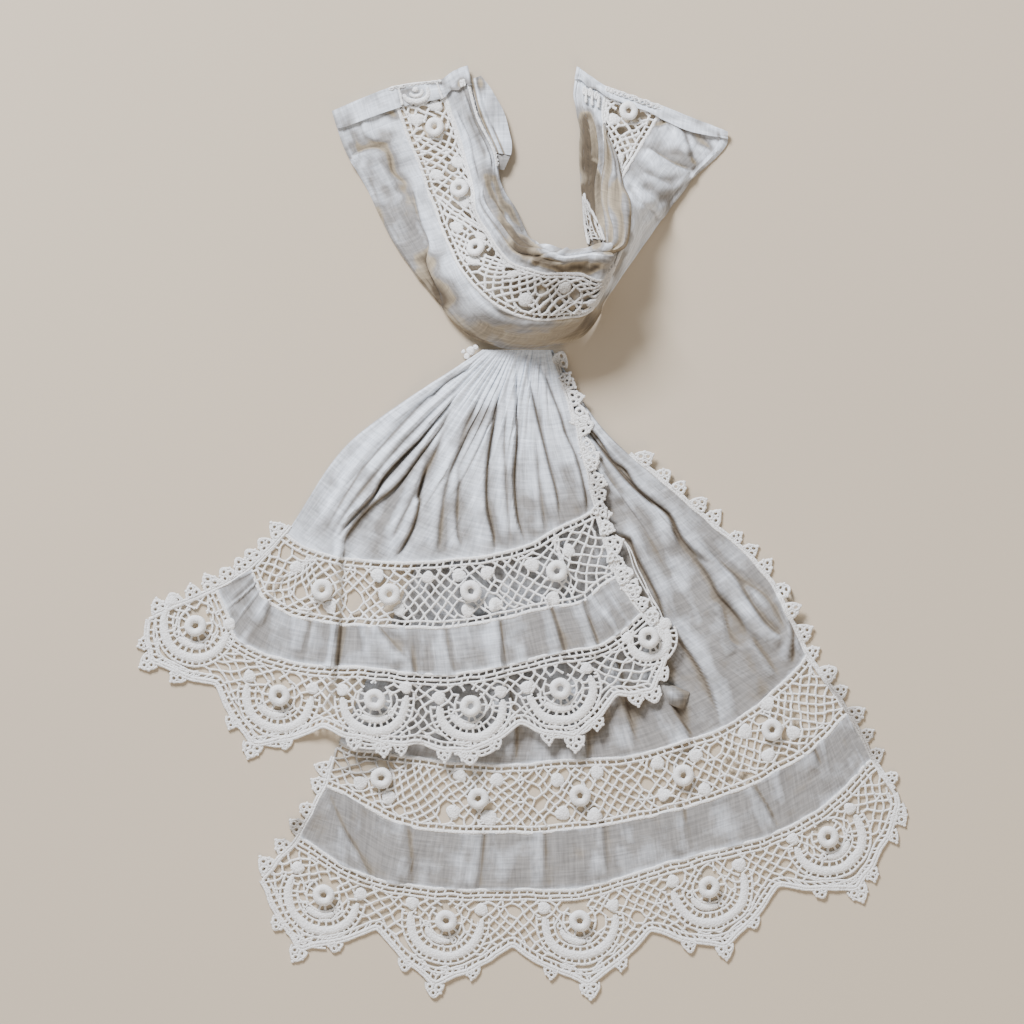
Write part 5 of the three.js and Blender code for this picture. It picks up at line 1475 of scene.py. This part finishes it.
class JABOT_OT_collar_linen(bpy.types.Operator):
    """Shapes the linen strips, hems and flap of the collar band"""

    bl_idname = "jabot.collar_linen"
    bl_label = "Collar linen"

    def execute(self, context):
        thickness = context.scene.jabot_linen.thickness / MM
        for name, start, end, cut in (("collar_outer_strip", OUTER, LOWER_SEAM, (0.27, 0.026)),
                                      ("collar_neck_strip", UPPER_SEAM, NECK, (0.24, 0.027))):
            piece = band_of_collar(name, BODY_START, BODY_END, start, end, (330, 34), thickness)
        for name, start, end in (("collar_left_end_hem", 0, HEM_LAP),
                                 ("collar_right_end_hem", COLLAR_LAST - HEM_LAP, COLLAR_LAST)):
            band_of_collar(name, start, end, OUTER, NECK, (14, 180), 1.2, lift=0.75)
        flap()
        return {"FINISHED"}


COLLAR_SHADE_PLACES = [  # painted shade of the band: along and across it, reach along and across, how much warmer
    (8.6, 0.1, 4.2, 1.3, 0.15), (7.4, 3.3, 5.2, 1.6, 0.85), (12.9, 3.3, 4.8, 1.6, 1.05),
    (1.2, 3.2, 2.6, 1.4, 0.3),
]


def collar_painted_shade(along, across):
    """Painted shade of the band: warm in the hollow of its front and inside its neck, where shade falls."""
    tone = np.full(len(along), 0.05)
    for at, side, length, breadth, much in COLLAR_SHADE_PLACES:
        tone += much * hill(along - at, length) * hill(across - side, breadth)
    return tone


def band_of_collar(name, start, end, low, high, grid, thickness, lift=0.0):
    """A stretch of the band as a closed wall of cloth, lifted where it is a hem."""
    share, across, shape = grid_of(np.linspace(0, 1, grid[0] + 1), np.linspace(low, high, grid[1] + 1))
    along = start + (end - start) * share
    if lift:  # a hem's inner edge wanders, and the right hem is broadest beyond the lace
        inner = share if start == 0 else share - 1
        along = along + 0.1 * inner * (0.6 + soft_noise(across * 16, across * 0, 9, 61))
        if start > 0:
            along = along + 0.3 * inner * hill(across - 0.45, 0.75)
    flat, plan = flat_band(along, across), collar_middle(along, across)[:, :2]
    seams = np.ones(len(along))
    if low > OUTER:
        seams *= smooth_step(0, 0.12, across - low)
    if high < NECK:
        seams *= smooth_step(0, 0.12, high - across)
    places = flat if name == "collar_neck_strip" else plan
    creases = [] if lift else collar_creases(name)
    relief = collar_relief(flat, places, creases) * seams
    relief += rolled_edge(flat, FLAT_PLACES[OUTER] + 1.4) + rolled_edge(flat, FLAT_PLACES[NECK] - 1.2)
    # Painted shade and light: the band's warm places, the strokes, the dark foot of each crease and the
    # hollows, with painted highlights on the ridges.
    tone = collar_painted_shade(along, across) + painted_shade_and_blotches(plan, name, 0.1) + 0.8 * crease_foot_shade(places, creases)
    if lift:
        relief = relief + 0.5 * (0.5 + noise_on(flat, 4, 63))
        tone = tone + 0.08 + 0.45 * noise_on(flat, 6, 64)
    steps = FLAT_SECTION * (end - start) / grid[0], (FLAT_PLACES[high] - FLAT_PLACES[low]) / grid[1]
    tone = tone.reshape(shape) + 0.8 * hollow_shade_and_ridge_light(relief.reshape(shape), 5.0 / steps[0], 5.0 / steps[1])
    wall = on_band(along, across, shape, relief + lift, thickness, tone)
    if name == "collar_neck_strip":
        wall = joined([wall, front_facing(), side_fold()])
    return finish_piece(f"{name}_cloth", wall, band_linen(), name)


def on_band(along, across, shape, high, thickness, tone, uv=None):
    """A wall of cloth that stands this high on the middle surface of the band."""
    normal = collar_normal(along, across)
    middle = collar_middle(along, across) + normal * high[:, None]
    middle[:, 2] = np.maximum(middle[:, 2], CLOTH_REST)
    middle, normal = middle.reshape(shape + (3,)), normal.reshape(shape + (3,))
    if uv is None:
        uv = np.stack([np.cumsum(np.linalg.norm(np.gradient(middle, axis=axis), axis=-1), axis=axis)
                       for axis in (0, 1)], axis=-1)
    normals = grid_normals(middle)
    normals = np.where((normals * normal).sum(axis=-1, keepdims=True) < 0, -normals, normals)
    return cloth_wall(middle, normals, thickness, uv, tone.reshape(shape))


FACING = (7.35, 11.3)  # the stretch of the front whose lace is lined
SIDE_FOLD = (11.45, 15.3)  # the stretch of the right side where the neck strip lies over the lace
FOLD_RIDGES = [(0.2, 0.04, 1.1), (0.52, -0.05, 1.3), (0.84, 0.02, 1.0)]  # place down it, sway, height


def front_facing():
    """The neck strip's turned-down part, which lies close behind the lace of the front."""
    along, across, shape = grid_of(np.linspace(*FACING, 81), np.linspace(LOWER_SEAM + 0.1, UPPER_SEAM, 17))
    flat, under = flat_band(along, across), -1.3 - 0.3 * soft_noise(along, across, 0.6, 71)
    # The facing's warm tone is painted shade of the lined front.
    return on_band(along, across, shape, under, 0.5, 0.95 + 0.06 * noise_on(flat, 9, 72), flat)


def side_fold():
    """The neck strip's fold that lies back over the lace of the right side."""
    along, down, shape = grid_of(np.linspace(*SIDE_FOLD, 91), np.linspace(0, 1, 25))
    reach = 0.04 + 0.98 * smooth_step(11.2, 11.8, along) * (1 - smooth_step(13.8, 15.1, along))
    across = UPPER_SEAM + 0.08 - (reach + 0.08) * down
    flat = flat_band(along, across)
    high = 1.5 - 0.6 * smooth_step(0.8, 1, down) + 0.35 * noise_on(flat, 6, 73)
    for at, sway, tall in FOLD_RIDGES:
        place = at + sway * np.sin(2.1 * along)
        high = high + tall * gauss(down - place, np.where(down < place, 0.05, 0.12))
    # Painted light and shade: the fold is lighter where it stands higher and darker where it sinks.
    tone = 1.0 - 0.5 * (high - high.mean()) + 0.2 * noise_on(flat, 9, 74)
    return on_band(along, across, shape, high, 0.5, tone, flat)


def flap():
    """The doubled flap beside the neck edge of the left end, with a ridge and a groove along it."""
    places = np.array(FLAP_REACH, float)
    steps, share = np.linspace(0, len(places) - 1, 60), np.linspace(0, 1, 40)
    along = np.interp(steps, np.arange(len(places)), places[:, 0])
    out = 0.4 + (curve_through(places, steps)[:, 1:] - 0.4) * share
    edge = collar_middle(along, np.full(len(along), float(NECK)))
    way = unit((edge - collar_middle(along, np.full(len(along), NECK - 1.0)))[:, :2])
    middle = np.zeros(out.shape + (3,))
    middle[..., :2] = edge[:, None, :2] + way[:, None] * out[..., None]
    high = 0.3 + 0.35 * noise_on(middle, 5, 9) + 0.8 * gauss(out - 2.2, 0.8) - 0.4 * gauss(out - 3.9, 0.6)
    middle[..., 2] = np.maximum(edge[:, None, 2] + high, 0.8)
    # Painted shade: a dark line along its inner edge and in the groove, and a painted highlight on the ridge;
    # darker still near its first end.
    tone = 0.1 + 0.4 * noise_on(middle, 7, 10) + 1.3 * gauss(out - 1.0, 0.45) - 0.3 * gauss(out - 2.2, 0.6)
    tone += 1.2 * gauss(out - 3.7, 0.45) * smooth_step(1.2, 1.6, along)[:, None]
    tone += 0.8 * hill(along - 0.45, 0.3)[:, None] * hill(out - 4.2, 3.0)
    uv = middle[..., :2] - middle[0, 0, :2]
    wall = cloth_wall(middle, np.broadcast_to(UP, middle.shape), 1.3, uv, tone)
    corner = turned_corner(middle[-1, 0], middle[-1, -1], (-1.0, -6.5, 0.0))
    finish_piece("collar_left_flap_cloth", joined([wall, corner]), band_linen(), "collar_left_flap")


def turned_corner(start, end, fall, puffed=False):
    """A corner of cloth that is turned over and shows its other side, flat or puffed up."""
    share, down = np.meshgrid(*[np.linspace(0, 1, 13)] * 2, indexing="ij")
    reach, drop = share[..., None], down[..., None]
    middle = start + (end - start) * (reach * (1 - 0.55 * drop) + 0.25 * drop) + fall * drop
    rise = 3.6 * np.sin(math.pi * np.clip(share, 0.04, 0.96)) if puffed else 1.1 * (1 - 0.4 * share)
    middle[..., 2] = np.maximum(middle[..., 2] - 0.5 + rise * np.sin(math.pi * down), CLOTH_REST)
    # A puffed corner is painted lighter where it stands higher: a painted highlight.
    tone = 0.75 - 0.12 * puffed * (middle[..., 2] - middle[..., 2].mean())
    return cloth_wall(middle, grid_normals(middle), 0.6, middle[..., :2] - start[:2], tone)


def joined(walls):
    """Several walls of cloth as one."""
    count, faces = 0, []
    for points, corners, _, _ in walls:
        faces.extend([[count + corner for corner in face] for face in corners])
        count += len(points)
    points, uv, tone = [np.concatenate([wall[part] for wall in walls]) for part in (0, 2, 3)]
    return points, faces, uv, tone


STRIP_WIDTH = 20  # the collar's insertion, laid flat
SIDE_LACE = [  # lace that shows low inside the right side: two edges, along and across the band
    [(12.75, 3.62), (12.1, 3.7), (11.3, 3.7)],
    [(12.65, 3.2), (12.1, 2.35), (11.55, 2.2)],
]
SIDE_ROWS, SIDE_COURSES = 9, (0.3, 0.55, 0.8)  # its wavy rows from edge to edge, and cords across them
# What is worked on the band's ends, by places across its flat width.
END_PICOTS = (1.5, 5.0, 8.5, 12.0, 15.5, 18.5)
END_CORDS = (2.5, 17.0)
END_BARS = (26.0, 33.0, 40.0)
COLLAR_RING_SIZE = 0.88  # the collar's rings are smaller than those of the falls
RING_RISE = 1.45  # half the height of a ring


class JABOT_OT_collar_lace(bpy.types.Operator):
    """Crochets the lace insertion of the collar band"""

    bl_idname = "jabot.collar_lace"
    bl_label = "Collar lace"

    def execute(self, context):
        pitch = context.scene.jabot_lace.ladder / MM
        known = np.linspace(0.02, COLLAR_LAST - 0.02, 520)
        length = lengths_along(collar_middle(known, np.full(520, 1.5)))
        first, total = np.interp([BODY_START, BODY_END], known, length)

        def lay(plan):
            along = np.interp(plan[:, 0], length, known)
            across = np.clip(LOWER_SEAM + plan[:, 1] / STRIP_WIDTH, OUTER, NECK)
            return collar_middle(along, across), collar_normal(along, across)

        def strip_place(along, across):
            return np.array([np.interp(along, known, length), (across - LOWER_SEAM) * STRIP_WIDTH])

        work = Crochet(lay, 401)
        lower = even_line(np.array([(first, 0.0), (total, 0.0)]), 0.8)
        upper = even_line(np.array([(total, STRIP_WIDTH), (first, STRIP_WIDTH)]), 0.8)
        for seam in (lower, upper):
            work.cord(seam, 0.8, 0.55)
        border = np.concatenate([work.ladder(seam, 2.4, 0.9 * pitch) for seam in (lower, upper)])
        for at, across, radius in COLLAR_DISCS:
            work.disc((first + at, across), radius)
        for along, across in COLLAR_RINGS:
            work.keep_out(strip_place(along, across), -1, RING_ROOM - 0.1)
        work.net(border, lower, STRIP_WIDTH, 402, fine=0.82, thick=1.3)
        end_motifs(work, first, total)
        side_lace(work, strip_place, np.random.default_rng(405))
        work.piece("collar_insertion", "collar_lace_insertion")
        return {"FINISHED"}


def side_lace(work, strip_place, rng):
    """Lace that shows on the neck strip where the band folds over, low inside its right side."""
    work.rise = 1.3
    edges = [even_line(np.array([strip_place(*place) for place in edge]), 0.8) for edge in SIDE_LACE]
    for edge in edges:
        work.cord(edge, 0.6, 0.6)
    step = np.linspace(0, 1, 24)[:, None]
    for share in np.linspace(0.02, 0.98, SIDE_ROWS):
        first, last = [edge[int(share * (len(edge) - 1))] for edge in edges]
        swing = np.array([rng.uniform(1.0, 1.8), 0.6]) * np.sin(step * rng.uniform(8, 12) + rng.uniform(0, 6))
        work.cord(first + (last - first) * step + swing, 0.42, 0.42, sides=6)
    near = edges[0][::3]
    far = points_at(edges[1], np.linspace(0, lengths_along(edges[1])[-1], len(near)))
    for share in SIDE_COURSES:
        work.cord(near * (1 - share) + far * share, 0.4, 0.4, sides=6)
    work.rise = 0.0


def end_motifs(work, first, total):
    """What is worked on the band's ends: a small scallop, picots, cords, bars and eyelets."""
    work.rise = 1.7
    centre = np.array([first - 1.5, 8.0])
    for radius, width in ((4.4, 1.1), (2.2, 0.8)):
        work.crescent(centre, radius, 8, 95, width)
    work.disc(centre - (0.8, 0.0), 1.2)
    for at in END_PICOTS:
        work.picot((0.6, at), np.array([-1.0, 0.0]), 2.0, 2.4)
        work.picot((total + 1.0, at), np.array([1.0, 0.0]), 2.0, 1.6)
    for at in END_CORDS:
        work.cord([(0.8, at), (first + 3, at)], *END_CORD)
    edge = work.ladder([(first - 3.0, 59.4), (first + 34.0, 59.4)], -2.0, 1.9)  # beside the flap
    work.cord(shifted(edge, -1.1), 0.5, 0.5, sides=6)
    for at in END_BARS:
        work.cord([(total - 7.5, at), (total - 2.0, at + 0.6)], *END_CORD)
        eyelet(work, (total - 3.0, at + 3.2), 1.3)
    for at, radius in ((50.0, 1.3), (46.0, 1.2)):
        eyelet(work, (first + 1.0, at), radius)
    work.rise = 0.0


def eyelet(work, centre, radius):
    circle = round_points(np.linspace(0, 2 * math.pi, 26))
    work.cord(centre + radius * circle, 0.5, 0.5, sides=6, step=0.5)


class JABOT_OT_padded_rings(bpy.types.Operator):
    """Buttonholes the padded rings"""

    bl_idname = "jabot.padded_rings"
    bl_label = "Padded rings"

    def execute(self, context):
        for fall in ("long", "short"):
            for number in range(1, RINGS + 1):
                padded_ring(f"{fall}_ring_{number}", UP)
        for number, (along, across) in enumerate(COLLAR_RINGS, 1):
            normal = collar_normal(np.array([along]), np.array([across]))[0]
            padded_ring(f"collar_ring_{number}", normal if normal[2] > 0 else -normal)
        return {"FINISHED"}


def padded_ring(name, normal):
    """A plump ring with the ribs of its stitches, where its solid is."""
    ring = bpy.context.scene.jabot_ring
    around, across = ring.stitches * 3, 14
    size = COLLAR_RING_SIZE if name.startswith("collar") else 1.0
    rng = np.random.default_rng(name_seed(name))
    turn, tilt = even_turns(around), even_turns(across)
    half = size * (ring.radius - ring.hole) / 2 / MM
    uneven = 1 + 0.03 * np.sin(2 * turn + rng.uniform(0, 6)) + 0.02 * np.sin(5 * turn + rng.uniform(0, 6))
    rib = 1 + 0.05 * np.cos(ring.stitches * turn)[:, None]
    spread = (size * ring.hole / MM + half) * uneven[:, None] + half * rib * np.cos(tilt)
    tall = RING_RISE * size * rib * np.sin(tilt)
    aside = unit(np.cross(normal, [0.0, 1.0, 0.0]))
    other = np.cross(normal, aside)
    circle = np.cos(turn)[:, None, None] * aside + np.sin(turn)[:, None, None] * other
    points = ring_box(name)[0] + spread[..., None] * circle + tall[..., None] * normal
    index = np.arange(around * across).reshape(around, across)
    after, above = np.roll(index, -1, axis=0), np.roll(index, -1, axis=1)
    faces = np.stack([index, after, np.roll(after, -1, axis=1), above], axis=-1).reshape(-1, 4).tolist()
    wall = points.reshape(-1, 3), faces, None, None
    cotton = finish_named("cotton_buttonholed", crochet_finish, 0.5 * MM, 0.08 * MM)
    finish_piece(f"{name}_cotton", wall, cotton, name, sharp=180)


class JABOT_OT_stage(bpy.types.Operator):
    """Lays the floor, hangs the lights and sets the camera straight above"""

    bl_idname = "jabot.stage"
    bl_label = "Stage"

    def execute(self, context):
        stage = context.scene.jabot_stage
        mesh = bpy.data.meshes.new("floor")
        mesh.from_pydata([(-3, -3, 0), (3, -3, 0), (3, 3, 0), (-3, 3, 0)], [], [(0, 1, 2, 3)])
        mesh.materials.append(table_finish())
        floor = bpy.data.objects.new("floor", mesh)
        context.scene.collection.objects.link(floor)
        for name, place, size, power, colour in (
                ("key_light", (-0.75, 1.6, 1.2), 0.6, 114, "#F3F6FF"),
                ("fill_light", (0.7, -1.7, 1.3), 1.4, 22, "#FFE6C8")):
            light = bpy.data.lights.new(name, "AREA")
            light.size, light.energy, light.color = size, power, hex_colour(colour)[:3]
            lamp = bpy.data.objects.new(name, light)
            lamp.location = place
            lamp.rotation_euler = (-lamp.location).to_track_quat("-Z", "Y").to_euler()
            context.scene.collection.objects.link(lamp)
        world = bpy.data.worlds.new("soft_room")
        context.scene.world = world
        world.use_nodes = True
        sky, strength = world.node_tree.nodes["Background"].inputs[:2]
        sky.default_value = hex_colour("#EEF1F6")
        strength.default_value = 0.42
        lens = bpy.data.cameras.new("camera_above")
        lens.lens = lens.sensor_width * stage.camera_height / stage.frame_width
        lens.clip_end = 50
        camera = bpy.data.objects.new("camera_above", lens)
        camera.location = (-5.04 * MM, 8.19 * MM, stage.camera_height)
        context.scene.collection.objects.link(camera)
        context.scene.camera = camera
        return {"FINISHED"}


class JABOT_PT_sidebar(bpy.types.Panel):
    """The sizes and the pieces of the jabot collar"""

    bl_idname = "JABOT_PT_sidebar"
    bl_label = "Jabot collar"
    bl_space_type = "VIEW_3D"
    bl_region_type = "UI"
    bl_category = "Jabot"

    def draw(self, context):
        for name in SETTINGS:
            group = getattr(context.scene, name)
            box = self.layout.box()
            for item in group.bl_rna.properties:
                if item.identifier not in ("name", "rna_type"):
                    box.prop(group, item.identifier)
        for operator in OPERATORS:
            self.layout.operator(operator.bl_idname)


SETTINGS = {"jabot_linen": LinenSettings, "jabot_lace": LaceSettings, "jabot_ring": RingSettings,
            "jabot_stage": StageSettings}
OPERATORS = (
    JABOT_OT_stage, JABOT_OT_gathered_panels, JABOT_OT_linen_strips, JABOT_OT_lace_insertions,
    JABOT_OT_scalloped_edgings, JABOT_OT_side_trims, JABOT_OT_collar_linen, JABOT_OT_collar_lace,
    JABOT_OT_padded_rings,
)


def register():
    for kind in (*SETTINGS.values(), *OPERATORS, JABOT_PT_sidebar):
        bpy.utils.register_class(kind)
    for name, kind in SETTINGS.items():
        setattr(bpy.types.Scene, name, bpy.props.PointerProperty(type=kind))


def unregister():
    for name in SETTINGS:
        delattr(bpy.types.Scene, name)
    for kind in (JABOT_PT_sidebar, *reversed(OPERATORS), *SETTINGS.values()):
        bpy.utils.unregister_class(kind)


def main():
    register()
    for operator in OPERATORS:
        group, name = operator.bl_idname.split(".")
        getattr(getattr(bpy.ops, group), name)()


if __name__ == "__main__":
    main()
